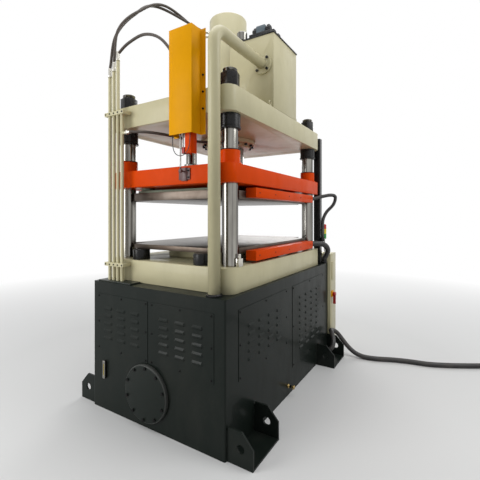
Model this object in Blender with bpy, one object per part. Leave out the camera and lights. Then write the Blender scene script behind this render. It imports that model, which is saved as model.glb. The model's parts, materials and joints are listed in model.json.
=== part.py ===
"""Four-column hydraulic moulding press, about 1.8 m wide and 3.6 m tall.

The origin is the centre of the base cabinet's footprint on the floor, +Z is up, -Y is the side where the
operator stands and +X is the side with the wiring covers. All sizes are in metres.
"""

import math

import bmesh
import bpy
from mathutils import Matrix, Vector

# Clearance between pieces that touch
GAP = 0.0003

# Base cabinet: folded and welded sheet, with the oil tank at its front and the pump bay behind
BASE_WIDTH = 1.38
BASE_LENGTH = 2.20
BASE_HEIGHT = 1.075
BASE_SHEET = 0.010
BASE_CORNER = 0.012
TANK_HEIGHT = 0.467
TANK_LENGTH = 1.06

# Floor brackets welded to the sides of the base; the insets lie between their middles and its ends
BRACKET_REACH = 0.20
BRACKET_LENGTH = 0.384
BRACKET_HEIGHT = 0.23
BRACKET_TOE = 0.135
BRACKET_CHAMFER = 0.088
BRACKET_PLATE = 0.014
BRACKET_HOLE = 0.060
BRACKET_HOLE_REACH = 0.105
BRACKET_HOLE_Z = 0.115
BRACKET_RELIEF = 0.006
BRACKET_FRONT_INSET = 0.212
BRACKET_REAR_INSET = 0.225

# Gland of the floor cable, on the right wall between the ears of the rear bracket
GLAND_DIAMETER = 0.070
GLAND_LENGTH = 0.025
GLAND_OFFSET = 0.103
GLAND_Z = 0.150

# Louvred panels: the strips of the base left round them, and the windows behind them
PANEL_SHEET = 0.003
PANEL_DROP = 0.100
WINDOW_MARGIN = 0.035
FRONT_PANEL_LEFT_STRIP = 0.0525
FRONT_PANEL_RIGHT_STRIP = 0.0925
FRONT_PANEL_BAR = 0.025
PANEL_OVER_MANHOLE = 0.004
SIDE_PANEL_FRONT_STRIP = 0.1655
SIDE_PANEL_REAR_STRIP = 0.180
SIDE_POST_Y = -0.03975
SIDE_POST_WIDTH = 0.1195
SIDE_FRONT_PANEL_FOOT = 0.47
SIDE_REAR_PANEL_FOOT = 0.215

# Louvres: the first row's distance under the panel's top, the plain sheet left at the sides and the
# foot, then one louvre's sizes
FRONT_LOUVRE_DROP = 0.125
SIDE_FRONT_LOUVRE_DROP = 0.155
SIDE_REAR_LOUVRE_DROP = 0.143
LOUVRE_SIDE_ROOM = 0.080
LOUVRE_FOOT_ROOM = 0.090
LOUVRE_LENGTH = 0.110
LOUVRE_HEIGHT = 0.026
LOUVRE_DEPTH = 0.009
LOUVRE_SLOT = 0.006
LOUVRE_PITCH_ACROSS = 0.160
LOUVRE_PITCH_UP = 0.062

# Manhole of the oil tank
MANHOLE_X = -0.036
MANHOLE_BELOW = 0.087
MANHOLE_ABOVE = 0.010
MANHOLE_RIM = 0.036
MANHOLE_THICKNESS = 0.032

# Level gauge and drain plug of the oil tank
GAUGE_INSET = 0.158
GAUGE_Z = 0.342
GAUGE_HEIGHT = 0.15
GAUGE_WIDTH = 0.030
GAUGE_DEPTH = 0.022
DRAIN_INSET = 0.05
DRAIN_Z = 0.090
DRAIN_DIAMETER = 0.036
DRAIN_LENGTH = 0.066

# Electric motor and pump on two feet in the rear bay of the base
MOTOR_Y = 0.55
MOTOR_SHIFT = -0.09
MOTOR_DIAMETER = 0.30
MOTOR_LENGTH = 0.42
MOTOR_HEIGHT = 0.20
MOTOR_FLANGE = 0.345
MOTOR_FLANGE_THICKNESS = 0.020
BELL_DIAMETER = 0.225
BELL_LENGTH = 0.110
PUMP_DIAMETER = 0.165
PUMP_LENGTH = 0.170
MOTOR_FOOT = (0.06, 0.26, 0.10)
MOTOR_FOOT_PITCH = 0.22

# Press frame: bed, slide and crown share one outline
PLATE_WIDTH = 1.305
PLATE_LENGTH = 1.877
PLATE_Y = -0.030
PLATE_CORNER = 0.080
BED_THICKNESS = 0.186
CROWN_THICKNESS = 0.185
SLIDE_THICKNESS = 0.138
SLIDE_INSET = 0.002
SLIDE_HEADROOM = 0.373

# Columns and their nuts; the edges are the distances from a column's axis to the sides of the plates
COLUMN_DIAMETER = 0.125
COLUMN_EDGE_X = 0.1005
COLUMN_EDGE_Y = 0.1335
COLUMN_SPACING_X = PLATE_WIDTH - 2 * COLUMN_EDGE_X
COLUMN_SPACING_Y = PLATE_LENGTH - 2 * COLUMN_EDGE_Y
THREAD_DIAMETER = 0.110
THREAD_STANDOUT = 0.035
CROWN_NUT_ACROSS = 0.151
CROWN_NUT_HEIGHT = 0.120
CROWN_NUT_TURN = math.radians(-12.6)
CLAMP_NUT_DIAMETER = 0.160
CLAMP_NUT_RIM = 0.170
CLAMP_NUT_HEIGHT = 0.110

# Guide bush housings welded on the slide
BUSH_DIAMETER = 0.155
BUSH_HEIGHT = 0.095
BUSH_FLANGE = 0.178
BUSH_FLANGE_HEIGHT = 0.012

# Main cylinder and ram; the rise is the cylinder's height over the crown
CYLINDER_DIAMETER = 0.380
CYLINDER_RISE = 1.059
CYLINDER_FLANGE = 0.550
CYLINDER_FLANGE_HEIGHT = 0.040
CYLINDER_SNOUT = 0.440
CYLINDER_SNOUT_HEIGHT = 0.031
CYLINDER_END_WALL = 0.060
RAM_DIAMETER = 0.320
RAM_LENGTH = 1.100
RAM_FLANGE = 0.460
RAM_FLANGE_HEIGHT = 0.050

# Platens, the packing under the lower one and the insulation over the upper one; margins and edges are
# the distances to the outline of the plates or of the platens
PLATEN_SIDE_MARGIN = 0.0795
PLATEN_END_MARGIN = 0.0935
PLATEN_WIDTH = PLATE_WIDTH - 2 * PLATEN_SIDE_MARGIN
PLATEN_LENGTH = PLATE_LENGTH - 2 * PLATEN_END_MARGIN
PLATEN_Y = -0.035
PLATEN_NOTCH_X = 0.143
PLATEN_NOTCH_Y = 0.145
PACKING_HEIGHT = 0.0881
LOWER_PLATEN_THICKNESS = 0.040
DAYLIGHT = 0.376
UPPER_PLATEN_THICKNESS = 0.069
INSULATION_HEIGHT = 0.0444
STOOL_DIAMETER = 0.145
STOOL_EDGE_X = 0.238
STOOL_EDGE_Y = 0.0835
STOOL_X = PLATEN_WIDTH / 2 - STOOL_EDGE_X
STOOL_Y = PLATE_LENGTH / 2 - STOOL_EDGE_Y
BOLSTER_SIDE_MARGIN = 0.273
BOLSTER_END_MARGIN = 0.295
BOLSTER_WIDTH = PLATEN_WIDTH - 2 * BOLSTER_SIDE_MARGIN
BOLSTER_LENGTH = PLATEN_LENGTH - 2 * BOLSTER_END_MARGIN
BOARD_THICKNESS = 0.020
BOARD_INSET_X = 0.020
BOARD_INSET_Y = 0.030
SPACER_DIAMETER = 0.120
SPACER_EDGE_X = 0.203
SPACER_EDGE_Y = 0.105
SPACER_X = PLATEN_WIDTH / 2 - SPACER_EDGE_X
SPACER_Y = PLATEN_LENGTH / 2 - SPACER_EDGE_Y

# Wiring covers on the right side of the platens, clear of the columns' faces
COVER_WIDTH = 0.092
COVER_HEIGHT = 0.078
COVER_SHEET = 0.003
COVER_FRONT_CLEARANCE = 0.1375
COVER_REAR_CLEARANCE = 0.0725
LOWER_COVER_DROP = 0.106
UPPER_COVER_RISE = 0.014

# Fill tank beside the main cylinder, with the valve block on its lid
TANK_BOX_CLEARANCE = 0.0075
TANK_BOX_LENGTH = 0.507
TANK_BOX_HEIGHT = 0.649
TANK_BOX_SHEET = 0.005
TANK_BOX_SHIFT = -0.0165
TANK_LID_EDGE = 0.006
TANK_LID_THICKNESS = 0.012
MANIFOLD_SIZE = (0.22, 0.30, 0.09)
MANIFOLD_SHIFT = 0.030
VALVE_SIZE = (0.20, 0.070, 0.075)
VALVE_PITCH = 0.095
BREATHER_DIAMETER = 0.100
BREATHER_HEIGHT = 0.140
BREATHER_INSET = 0.075

# Return pipe from the base to the fill tank; it stands in one line with the riser pipes
FRONT_LINE_STANDOFF = 0.0615
PIPE_DIAMETER = 0.089
PIPE_WALL = 0.004
PIPE_INSET = 0.1045
PIPE_RISE = 0.389
PIPE_BEND = 0.115
PIPE_FOOT_CLEARANCE = 0.0025
PIPE_FOOT_THICKNESS = 0.012
PIPE_FLANGE = 0.170
PIPE_FLANGE_THICKNESS = 0.018

# Riser pipes at the left of the front; their tops are heights over the crown
RISER_DIAMETER = 0.030
RISER_INSET = 0.0865
RISER_PITCH = 0.052
RISER_RISES = (0.259, 0.302, 0.383, -0.041)
RISER_BRANCH_DIAMETER = 0.024
RISER_BRANCH_DROP = 0.056
RISER_BRANCH_REACH = 0.050
CLAMP_BAR_HEIGHT = 0.030
CLAMP_BAR_DEPTH = 0.052
CLAMP_BAR_MARGIN = 0.040
CLAMP_STAND_WIDTH = 0.074
LOWER_CLAMP_DROP = 0.0403
UPPER_CLAMP_DROP = 0.066
RISER_PLATE = (0.40, 0.105, 0.010)
RISER_PLATE_INSET = 0.0025

# Guard cover on the crown's front face: how far it hangs under the crown and stands over it
GUARD_LEFT = 0.168
GUARD_WIDTH = 0.217
GUARD_DEPTH = 0.110
GUARD_DROP = 0.156
GUARD_RISE = 0.439
GUARD_SHEET = 0.003
GUARD_FLANGE = 0.044

# Channel, position sensor and pull rod behind the guard cover
CHANNEL_INSET = 0.1216
CHANNEL_WIDTH = 0.055
CHANNEL_DEPTH = 0.070
CHANNEL_WALL = 0.005
CHANNEL_DROP = 0.293
CHANNEL_TOP_MARGIN = 0.040
SENSOR_WIDTH = 0.030
SENSOR_STANDOFF = 0.0515
SENSOR_CAP_WIDTH = 0.050
SENSOR_CAP_OVERHANG = 0.001
SENSOR_CAP_HEIGHT = 0.045
PULL_ROD_DIAMETER = 0.012
PULL_ROD_INSET = 0.061
PULL_ROD_EYE = 0.026
PULL_ROD_EYE_RISE = 0.093
SLED_RISE = 0.059
SLED_HEIGHT = 0.080

# Lock rod of the slide and its locking unit on the crown
LOCK_ROD_DIAMETER = 0.082
LOCK_ROD_X = 0.232
LOCK_ROD_INSET = 0.0735
LOCK_ROD_RISE = 0.519
LOCK_UNIT_WIDTH = 0.130
LOCK_UNIT_HEIGHT = 0.200

# Control cabinet on the base's rear wall
CABINET_WIDTH = 1.000
CABINET_OVERHANG = 0.030
CABINET_DEPTH = 0.210
CABINET_BOTTOM = 0.115
CABINET_RISE = 0.107
CABINET_SHEET = 0.004
DOOR_THICKNESS = 0.018
DOOR_SHEET = 0.003
DOOR_EDGE = 0.004
DOOR_RIM = 0.030
JUNCTION_SIZE = (0.012, 0.130, 0.216)
JUNCTION_DROP = 0.208

# Main switch on the cabinet's right side and signal lamp on its top
SWITCH_PLATE = 0.070
SWITCH_DEPTH = 0.014
SWITCH_DROP = 0.487
SWITCH_SETBACK = 0.055
HANDLE_LENGTH = 0.120
HANDLE_WIDTH = 0.020
HANDLE_DEPTH = 0.030
KNOB_DIAMETER = 0.046
KNOB_HEIGHT = 0.035
LAMP_INSET = 0.130
LAMP_SETBACK = 0.1797
LAMP_DIAMETER = 0.046
LAMP_SEGMENT = 0.060
LAMP_FOOT = 0.064
LAMP_POLE = 0.018
LAMP_POLE_HEIGHT = 0.170

# Cable trunk behind the frame
TRUNK_INSET = 0.0355
TRUNK_WIDTH = 0.076
TRUNK_DEPTH = 0.062
TRUNK_STANDOFF = 0.006
TRUNK_DROP = 0.041
TRUNK_STRAP_HEIGHT = 0.060

# Conduits, hoses and the floor cable with its coil
UPPER_CONDUIT_DIAMETER = 0.040
LOWER_CONDUIT_DIAMETER = 0.060
LOWER_CONDUIT_INSET = 0.035
CONDUIT_LEAD = 0.060
UPPER_CONDUIT_FALL = 0.480
HOSE_DIAMETER = 0.024
TOP_HOSE_DROP = 0.140
CABLE_DIAMETER = 0.050
COIL_TURN = 0.300
COIL_TURNS = 2
COIL_PITCH = 0.052
COIL_FACET = 0.0018

# Heights that follow, from the base to the top of the cylinder
BED_BOTTOM = BASE_HEIGHT + GAP
BED_TOP = BED_BOTTOM + BED_THICKNESS
PACKING_BOTTOM = BED_TOP + GAP
LOWER_PLATEN_BOTTOM = PACKING_BOTTOM + PACKING_HEIGHT + GAP
LOWER_PLATEN_TOP = LOWER_PLATEN_BOTTOM + LOWER_PLATEN_THICKNESS
UPPER_PLATEN_BOTTOM = LOWER_PLATEN_TOP + DAYLIGHT
BOARD_BOTTOM = UPPER_PLATEN_BOTTOM + UPPER_PLATEN_THICKNESS + GAP
SLIDE_BOTTOM = BOARD_BOTTOM + INSULATION_HEIGHT + GAP
SLIDE_TOP = SLIDE_BOTTOM + SLIDE_THICKNESS
CROWN_BOTTOM = SLIDE_TOP + SLIDE_HEADROOM
CROWN_TOP = CROWN_BOTTOM + CROWN_THICKNESS
CYLINDER_TOP = CROWN_TOP + CYLINDER_RISE
LOWER_COVER_BOTTOM = LOWER_PLATEN_TOP - LOWER_COVER_DROP
UPPER_COVER_BOTTOM = UPPER_PLATEN_BOTTOM + UPPER_COVER_RISE
CHANNEL_BOTTOM = CROWN_BOTTOM - CHANNEL_DROP
CABINET_TOP = BASE_HEIGHT + CABINET_RISE

# Places that follow, on the floor plan
FRONT_FACE = PLATE_Y - PLATE_LENGTH / 2
REAR_FACE = PLATE_Y + PLATE_LENGTH / 2
RIGHT_FACE = PLATE_WIDTH / 2
FRONT_LINE_Y = FRONT_FACE - FRONT_LINE_STANDOFF
PIPE_X = RIGHT_FACE - PIPE_INSET
RISER_XS = [-RIGHT_FACE + RISER_INSET + RISER_PITCH * number for number in range(4)]
RISER_TOPS = [CROWN_TOP + rise for rise in RISER_RISES]
LOCK_ROD_Y = FRONT_FACE + LOCK_ROD_INSET
TANK_BOX_LEFT = CYLINDER_DIAMETER / 2 + TANK_BOX_CLEARANCE
TANK_BOX_Y = PLATE_Y + TANK_BOX_SHIFT
COVER_FRONT = PLATE_Y - COLUMN_SPACING_Y / 2 + COLUMN_DIAMETER / 2 + COVER_FRONT_CLEARANCE
COVER_REAR = PLATE_Y + COLUMN_SPACING_Y / 2 - COLUMN_DIAMETER / 2 - COVER_REAR_CLEARANCE
BRACKET_FRONT_Y = -BASE_LENGTH / 2 + BRACKET_FRONT_INSET
BRACKET_REAR_Y = BASE_LENGTH / 2 - BRACKET_REAR_INSET
GLAND_Y = BRACKET_REAR_Y - GLAND_OFFSET
CABINET_Y = BASE_LENGTH / 2 + GAP
CABINET_RIGHT = BASE_WIDTH / 2 + CABINET_OVERHANG
CABINET_LEFT = CABINET_RIGHT - CABINET_WIDTH
SWITCH_Y = CABINET_Y + SWITCH_SETBACK
SWITCH_Z = CABINET_TOP - SWITCH_DROP
TRUNK_X = RIGHT_FACE - TRUNK_INSET
TRUNK_Y = REAR_FACE + GAP + TRUNK_STANDOFF + TRUNK_DEPTH / 2
COLUMN_PLACES = [
    (side * COLUMN_SPACING_X / 2, PLATE_Y + end * COLUMN_SPACING_Y / 2, name)
    for side, end, name in (
        (-1, -1, "front_left"),
        (1, -1, "front_right"),
        (-1, 1, "rear_left"),
        (1, 1, "rear_right"),
    )
]

# Manhole and panels that follow from the tank and the base
MANHOLE_BORE = TANK_HEIGHT - MANHOLE_BELOW - MANHOLE_ABOVE
MANHOLE_COVER = MANHOLE_BORE + 2 * MANHOLE_RIM
MANHOLE_Z = MANHOLE_BELOW + MANHOLE_BORE / 2
PANEL_TOP = BASE_HEIGHT - PANEL_DROP
FRONT_PANEL_FOOT = MANHOLE_Z + MANHOLE_COVER / 2 + PANEL_OVER_MANHOLE
FRONT_PANEL_WIDTH = (
    BASE_WIDTH - FRONT_PANEL_LEFT_STRIP - FRONT_PANEL_RIGHT_STRIP - FRONT_PANEL_BAR
) / 2
FRONT_PANEL_LEFT = -BASE_WIDTH / 2 + FRONT_PANEL_LEFT_STRIP


def material(name, colour, roughness, metallic=0.0):
    """A Principled material of one colour."""
    made = bpy.data.materials.new(name)
    made.use_nodes = True
    shader = made.node_tree.nodes["Principled BSDF"]
    shader.inputs["Base Color"].default_value = (*colour, 1.0)
    shader.inputs["Roughness"].default_value = roughness
    shader.inputs["Metallic"].default_value = metallic
    return made


def empty(name, location):
    """An empty that carries the pieces of one moving group."""
    carrier = bpy.data.objects.new(name, None)
    carrier.location = location
    bpy.context.scene.collection.objects.link(carrier)
    return carrier


def place(name, shape, finish, location=(0, 0, 0), parent=None, turn_z=0.0):
    """Turns a bmesh into a named object; location is a place in the world, also under a parent."""
    bmesh.ops.recalc_face_normals(shape, faces=shape.faces)
    mesh = bpy.data.meshes.new(name)
    shape.to_mesh(mesh)
    shape.free()
    mesh.materials.append(finish)
    mesh.shade_smooth()
    mesh.set_sharp_from_angle(angle=math.radians(35))
    made = bpy.data.objects.new(name, mesh)
    bpy.context.scene.collection.objects.link(made)
    made.location = location
    made.rotation_euler.z = turn_z
    if parent:
        made.parent = parent
        made.location = Vector(location) - parent.location
    return made


def guide(name, shape, target, operation):
    """A hidden shape that a Boolean cuts from the target or joins to it."""
    made = place(name, shape, target.data.materials[0], target.location, target.parent)
    if target.parent:
        made.location = target.location
    made.rotation_euler = target.rotation_euler
    made.hide_render = True
    made.display_type = "WIRE"
    boolean = target.modifiers.new(name, "BOOLEAN")
    boolean.operation = operation
    boolean.solver = "EXACT"
    boolean.object = made
    return made


def cut(target, shape, name):
    return guide(name, shape, target, "DIFFERENCE")


def weld(target, shape, name):
    return guide(name, shape, target, "UNION")


def block(low, high, shape=None):
    """A box between two corners, added to a bmesh."""
    shape = shape or bmesh.new()
    low, high = Vector(low), Vector(high)
    size = high - low
    matrix = Matrix.Translation((low + high) / 2) @ Matrix.Diagonal((*size, 1))
    bmesh.ops.create_cube(shape, size=1, matrix=matrix)
    return shape


def edges_along(shape, axis):
    """The edges that run along one axis."""
    return [
        edge
        for edge in shape.edges
        if abs((edge.verts[0].co - edge.verts[1].co).normalized()[axis]) > 0.999
    ]


def rounded_block(low, high, radius, axis=2, segments=5):
    """A box whose edges along one axis are rounded."""
    shape = block(low, high)
    bmesh.ops.bevel(
        shape,
        geom=edges_along(shape, axis),
        offset=radius,
        segments=segments,
        profile=0.5,
        affect="EDGES",
    )
    return shape


def prism(outline, low, high, axis=2):
    """An outline in the plane across an axis, extruded from low to high along it."""
    shape = bmesh.new()
    corners = []
    for first, second in outline:
        point = [first, second]
        point.insert(axis, low)
        corners.append(shape.verts.new(point))
    face = shape.faces.new(corners)
    made = bmesh.ops.extrude_face_region(shape, geom=[face])
    shift = Vector((0, 0, 0))
    shift[axis] = high - low
    moved = [item for item in made["geom"] if isinstance(item, bmesh.types.BMVert)]
    bmesh.ops.translate(shape, verts=moved, vec=shift)
    return shape


def turned(profile, segments=24, centre=(0, 0, 0), axis="Z", shape=None):
    """A closed outline of radius and height, spun once round; a radius of 0 lies on the axis."""
    shape = shape or bmesh.new()
    before = set(shape.verts)
    points = [shape.verts.new((radius, 0, height)) for radius, height in profile]
    edges = [shape.edges.new(pair) for pair in zip(points, points[1:])]
    if profile[0][0] > 0:
        edges.append(shape.edges.new((points[-1], points[0])))
    bmesh.ops.spin(
        shape,
        geom=points + edges,
        cent=(0, 0, 0),
        axis=(0, 0, 1),
        angle=2 * math.pi,
        steps=segments,
        use_merge=True,
    )
    fresh = [vert for vert in shape.verts if vert not in before]
    bmesh.ops.remove_doubles(shape, verts=fresh, dist=0.00001)
    fresh = [vert for vert in shape.verts if vert not in before]
    lay = {"Z": Matrix.Identity(4), "Y": Matrix.Rotation(math.pi / 2, 4, "X")}
    lay["X"] = Matrix.Rotation(math.pi / 2, 4, "Y")
    bmesh.ops.transform(shape, matrix=Matrix.Translation(centre) @ lay[axis], verts=fresh)
    return shape


def rod(diameter, low, high, segments=24, centre=(0, 0, 0), axis="Z", shape=None):
    """A plain round bar."""
    profile = [(0, low), (diameter / 2, low), (diameter / 2, high), (0, high)]
    return turned(profile, segments, centre, axis, shape)


def hexagon(across, turn=0.0):
    """The corners of a hexagon of that size across its corners."""
    return [
        (
            across / 2 * math.cos(turn + math.radians(60 * k)),
            across / 2 * math.sin(turn + math.radians(60 * k)),
        )
        for k in range(6)
    ]


def tube(points, diameter, sides=16, shape=None):
    """A round bar along a line of points, with its rings turned as little as possible."""
    shape = shape or bmesh.new()
    points = [Vector(point) for point in points]
    ahead = (points[1] - points[0]).normalized()
    across = ahead.orthogonal().normalized()
    rings = []
    for index, point in enumerate(points):
        before = points[max(index - 1, 0)]
        after = points[min(index + 1, len(points) - 1)]
        direction = (after - before).normalized()
        across = ahead.rotation_difference(direction) @ across
        ahead = direction
        other = ahead.cross(across)
        ring = []
        for side in range(sides):
            angle = 2 * math.pi * side / sides
            offset = across * math.cos(angle) + other * math.sin(angle)
            ring.append(shape.verts.new(point + offset * diameter / 2))
        rings.append(ring)
    for first, second in zip(rings, rings[1:]):
        for side in range(sides):
            following = (side + 1) % sides
            shape.faces.new((first[side], first[following], second[following], second[side]))
    shape.faces.new(reversed(rings[0]))
    shape.faces.new(rings[-1])
    return shape


def smooth_route(points, spacing):
    """Points at about that spacing on one smooth curve through the given ones."""
    points = [Vector(point) for point in points]
    ends = [2 * points[0] - points[1], *points, 2 * points[-1] - points[-2]]
    fine = []
    for index in range(len(points) - 1):
        p0, p1, p2, p3 = ends[index : index + 4]
        for step in range(24):
            t = step / 24
            fine.append(
                0.5
                * (
                    2 * p1
                    + (p2 - p0) * t
                    + (2 * p0 - 5 * p1 + 4 * p2 - p3) * t**2
                    + (3 * p1 - p0 - 3 * p2 + p3) * t**3
                )
            )
    fine.append(points[-1])
    length = sum((b - a).length for a, b in zip(fine, fine[1:]))
    count = max(2, round(length / spacing))
    route = [fine[0]]
    gone = 0.0
    for first, second in zip(fine, fine[1:]):
        step = (second - first).length
        while len(route) < count and gone + step >= len(route) * length / count:
            share = (len(route) * length / count - gone) / step
            route.append(first.lerp(second, share))
        gone += step
    route.append(fine[-1])
    return route


def cord_object(name, points, diameter, finish, parent=None):
    """A free cable or hose: a curve with a round bevel and filled ends."""
    data = bpy.data.curves.new(name, "CURVE")
    data.dimensions = "3D"
    data.bevel_depth = diameter / 2
    data.bevel_resolution = 2
    data.use_fill_caps = True
    spline = data.splines.new("POLY")
    spline.points.add(len(points) - 1)
    for target, point in zip(spline.points, points):
        target.co = (*point, 1.0)
    data.materials.append(finish)
    made = bpy.data.objects.new(name, data)
    bpy.context.scene.collection.objects.link(made)
    if parent:
        made.parent = parent
        made.location = -parent.location
    return made


def frame_plate(name, bottom, thickness, inset, finish, parent=None):
    """Bed, slide or crown: a thick plate with rounded corners, bored for the four columns."""
    half_x, half_y = PLATE_WIDTH / 2 - inset, PLATE_LENGTH / 2 - inset
    shape = rounded_block(
        (-half_x, -half_y, 0), (half_x, half_y, thickness), PLATE_CORNER - inset
    )
    plate = place(name, shape, finish, (0, PLATE_Y, bottom), parent)
    return plate


def bore_for_columns(plate, low, high):
    """Cuts the four column bores; low and high are heights over the plate's underside."""
    bores = bmesh.new()
    for x, y, _ in COLUMN_PLACES:
        rod(COLUMN_DIAMETER + 2 * GAP, low, high, 24, (x, y - PLATE_Y, 0), "Z", bores)
    cut(plate, bores, plate.name + "_bores")


def louvres(columns, rows, first_z):
    """The pressed hoods of one panel and the slots under them, in the panel's own plane."""
    hoods, slots = bmesh.new(), bmesh.new()
    for column in range(columns):
        across = (column - (columns - 1) / 2) * LOUVRE_PITCH_ACROSS
        for row in range(rows):
            up = first_z - row * LOUVRE_PITCH_UP
            half, rise = LOUVRE_LENGTH / 2, LOUVRE_HEIGHT
            slant = LOUVRE_HEIGHT / 2
            # The hood rises from the sheet at its top and stands open at its foot.
            base = [(-half, 0), (half, 0), (half, rise * 0.45), (half - slant, rise)]
            base += [(-half + slant, rise), (-half, rise * 0.45)]
            lip = [(-half + slant, 0), (half - slant, 0), (half - slant * 1.2, rise * 0.4)]
            lip += [(-half + slant * 1.2, rise * 0.4)]
            root = -PANEL_SHEET * 0.4
            outer = [hoods.verts.new((across + u, root, up + v)) for u, v in base]
            front = -PANEL_SHEET - LOUVRE_DEPTH
            inner = [hoods.verts.new((across + u, front, up + v)) for u, v in lip]
            hoods.faces.new(reversed(outer))
            hoods.faces.new(inner)
            hoods.faces.new((outer[0], outer[1], inner[1], inner[0]))
            hoods.faces.new((outer[1], outer[2], outer[3], inner[2], inner[1]))
            hoods.faces.new((outer[3], outer[4], inner[3], inner[2]))
            hoods.faces.new((outer[4], outer[5], outer[0], inner[0], inner[3]))
            block(
                (across - half + slant, front - 0.01, up - LOUVRE_SLOT),
                (across + half - slant, PANEL_SHEET, up - 0.0002),
                slots,
            )
    return hoods, slots


def panels():
    """Name, wall axis, low and high end along the wall, foot and first louvre's drop of each panel."""
    left, width, bar = FRONT_PANEL_LEFT, FRONT_PANEL_WIDTH, FRONT_PANEL_BAR
    second = left + width + bar
    front = -BASE_LENGTH / 2 + SIDE_PANEL_FRONT_STRIP
    rear = BASE_LENGTH / 2 - SIDE_PANEL_REAR_STRIP
    post = SIDE_POST_WIDTH / 2
    return [
        ("panel_front_left", 0, left, left + width, FRONT_PANEL_FOOT, FRONT_LOUVRE_DROP),
        ("panel_front_right", 0, second, second + width, FRONT_PANEL_FOOT, FRONT_LOUVRE_DROP),
        (
            "panel_side_front",
            1,
            front,
            SIDE_POST_Y - post,
            SIDE_FRONT_PANEL_FOOT,
            SIDE_FRONT_LOUVRE_DROP,
        ),
        (
            "panel_side_rear",
            1,
            SIDE_POST_Y + post,
            rear,
            SIDE_REAR_PANEL_FOOT,
            SIDE_REAR_LOUVRE_DROP,
        ),
    ]


def louvred_panel(name, size, first_drop, location, turn_z, finish):
    """A screwed sheet panel that faces -Y before it is turned, with rows of open louvres."""
    width, height = size
    run = width - 2 * LOUVRE_SIDE_ROOM - LOUVRE_LENGTH
    columns = int(run / LOUVRE_PITCH_ACROSS) + 1
    rows = int((height - first_drop - LOUVRE_FOOT_ROOM) / LOUVRE_PITCH_UP) + 1
    sheet = block(
        (-width / 2, -PANEL_SHEET, -height / 2), (width / 2, 0, height / 2)
    )
    panel = place(name, sheet, finish, location, None, turn_z)
    hoods, slots = louvres(columns, rows, height / 2 - first_drop)
    weld(panel, hoods, name + "_hoods")
    cut(panel, slots, name + "_slots")
    return panel


def bracket(side, centre_y):
    """A U-shaped floor bracket: two chamfered ears with a hole and a foot plate between them.

    Each ear is relieved at its root, so that it stands clear of the rear side panel.
    """
    wall = side * BASE_WIDTH / 2
    tip = wall + side * BRACKET_REACH
    root = wall - side * BASE_SHEET / 2
    clear = wall + side * BRACKET_RELIEF
    relief_z = SIDE_REAR_PANEL_FOOT - BRACKET_RELIEF
    outline = [
        (root, 0),
        (tip, 0),
        (tip, BRACKET_TOE),
        (tip - side * BRACKET_CHAMFER, BRACKET_HEIGHT),
        (clear, BRACKET_HEIGHT),
        (clear, relief_z),
        (root, relief_z),
    ]
    shapes = []
    for end in (-1, 1):
        outer = centre_y + end * BRACKET_LENGTH / 2
        low = min(outer, outer - end * BRACKET_PLATE)
        shapes.append(prism(outline, low, low + BRACKET_PLATE, axis=1))
    inside = BRACKET_LENGTH / 2 - BRACKET_PLATE * 0.5
    shapes.append(
        block(
            (min(root, tip - side * 0.001), centre_y - inside, 0),
            (max(root, tip - side * 0.001), centre_y + inside, BRACKET_PLATE),
        )
    )
    hole_x = wall + side * BRACKET_HOLE_REACH
    hole = rod(
        BRACKET_HOLE,
        -centre_y - BRACKET_LENGTH / 2 - 0.02,
        -centre_y + BRACKET_LENGTH / 2 + 0.02,
        16,
        (hole_x, 0, BRACKET_HOLE_Z),
        "Y",
    )
    return shapes, hole


def base_cabinet(finish):
    """The welded base: outer box, hollow tank and bays, panel windows, manhole and brackets."""
    half_x, half_y = BASE_WIDTH / 2, BASE_LENGTH / 2
    base = place(
        "base_cabinet",
        rounded_block(
            (-half_x, -half_y, 0), (half_x, half_y, BASE_HEIGHT), BASE_CORNER, segments=3
        ),
        finish,
    )
    inner_x, inner_y = half_x - BASE_SHEET, half_y - BASE_SHEET
    bulkhead = -half_y + TANK_LENGTH
    cut(
        base,
        block(
            (-inner_x, -inner_y, TANK_HEIGHT + BASE_SHEET),
            (inner_x, inner_y, BASE_HEIGHT - BASE_SHEET),
        ),
        "base_upper_bay",
    )
    cut(
        base,
        block(
            (-inner_x, bulkhead + BASE_SHEET, BASE_SHEET),
            (inner_x, inner_y, TANK_HEIGHT + 2 * BASE_SHEET),
        ),
        "base_pump_bay",
    )
    cut(
        base,
        block((-inner_x, -inner_y, BASE_SHEET), (inner_x, bulkhead, TANK_HEIGHT)),
        "base_tank_space",
    )
    windows = bmesh.new()
    for _, axis, low, high, foot, _ in panels():
        low, high = low + WINDOW_MARGIN, high - WINDOW_MARGIN
        sill, head = foot + WINDOW_MARGIN, PANEL_TOP - WINDOW_MARGIN
        if axis == 0:
            block((low, -half_y - 0.02, sill), (high, -inner_y + 0.02, head), windows)
        else:
            block((inner_x - 0.02, low, sill), (half_x + 0.02, high, head), windows)
    cut(base, windows, "base_windows")
    bore = rod(
        MANHOLE_BORE,
        inner_y - 0.02,
        half_y + 0.02,
        32,
        (MANHOLE_X, 0, MANHOLE_Z),
        "Y",
    )
    cut(base, bore, "base_manhole")
    for number, (side, y) in enumerate(
        (side, y) for side in (-1, 1) for y in (BRACKET_FRONT_Y, BRACKET_REAR_Y)
    ):
        shapes, hole = bracket(side, y)
        for index, shape in enumerate(shapes):
            weld(base, shape, f"bracket_{number}_plate_{index}")
        cut(base, hole, f"bracket_{number}_hole")
    wall = BASE_WIDTH / 2
    gland = rod(
        GLAND_DIAMETER, wall - 0.005, wall + GLAND_LENGTH, 20, (0, GLAND_Y, GLAND_Z), "X"
    )
    weld(base, gland, "cable_gland")


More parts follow.
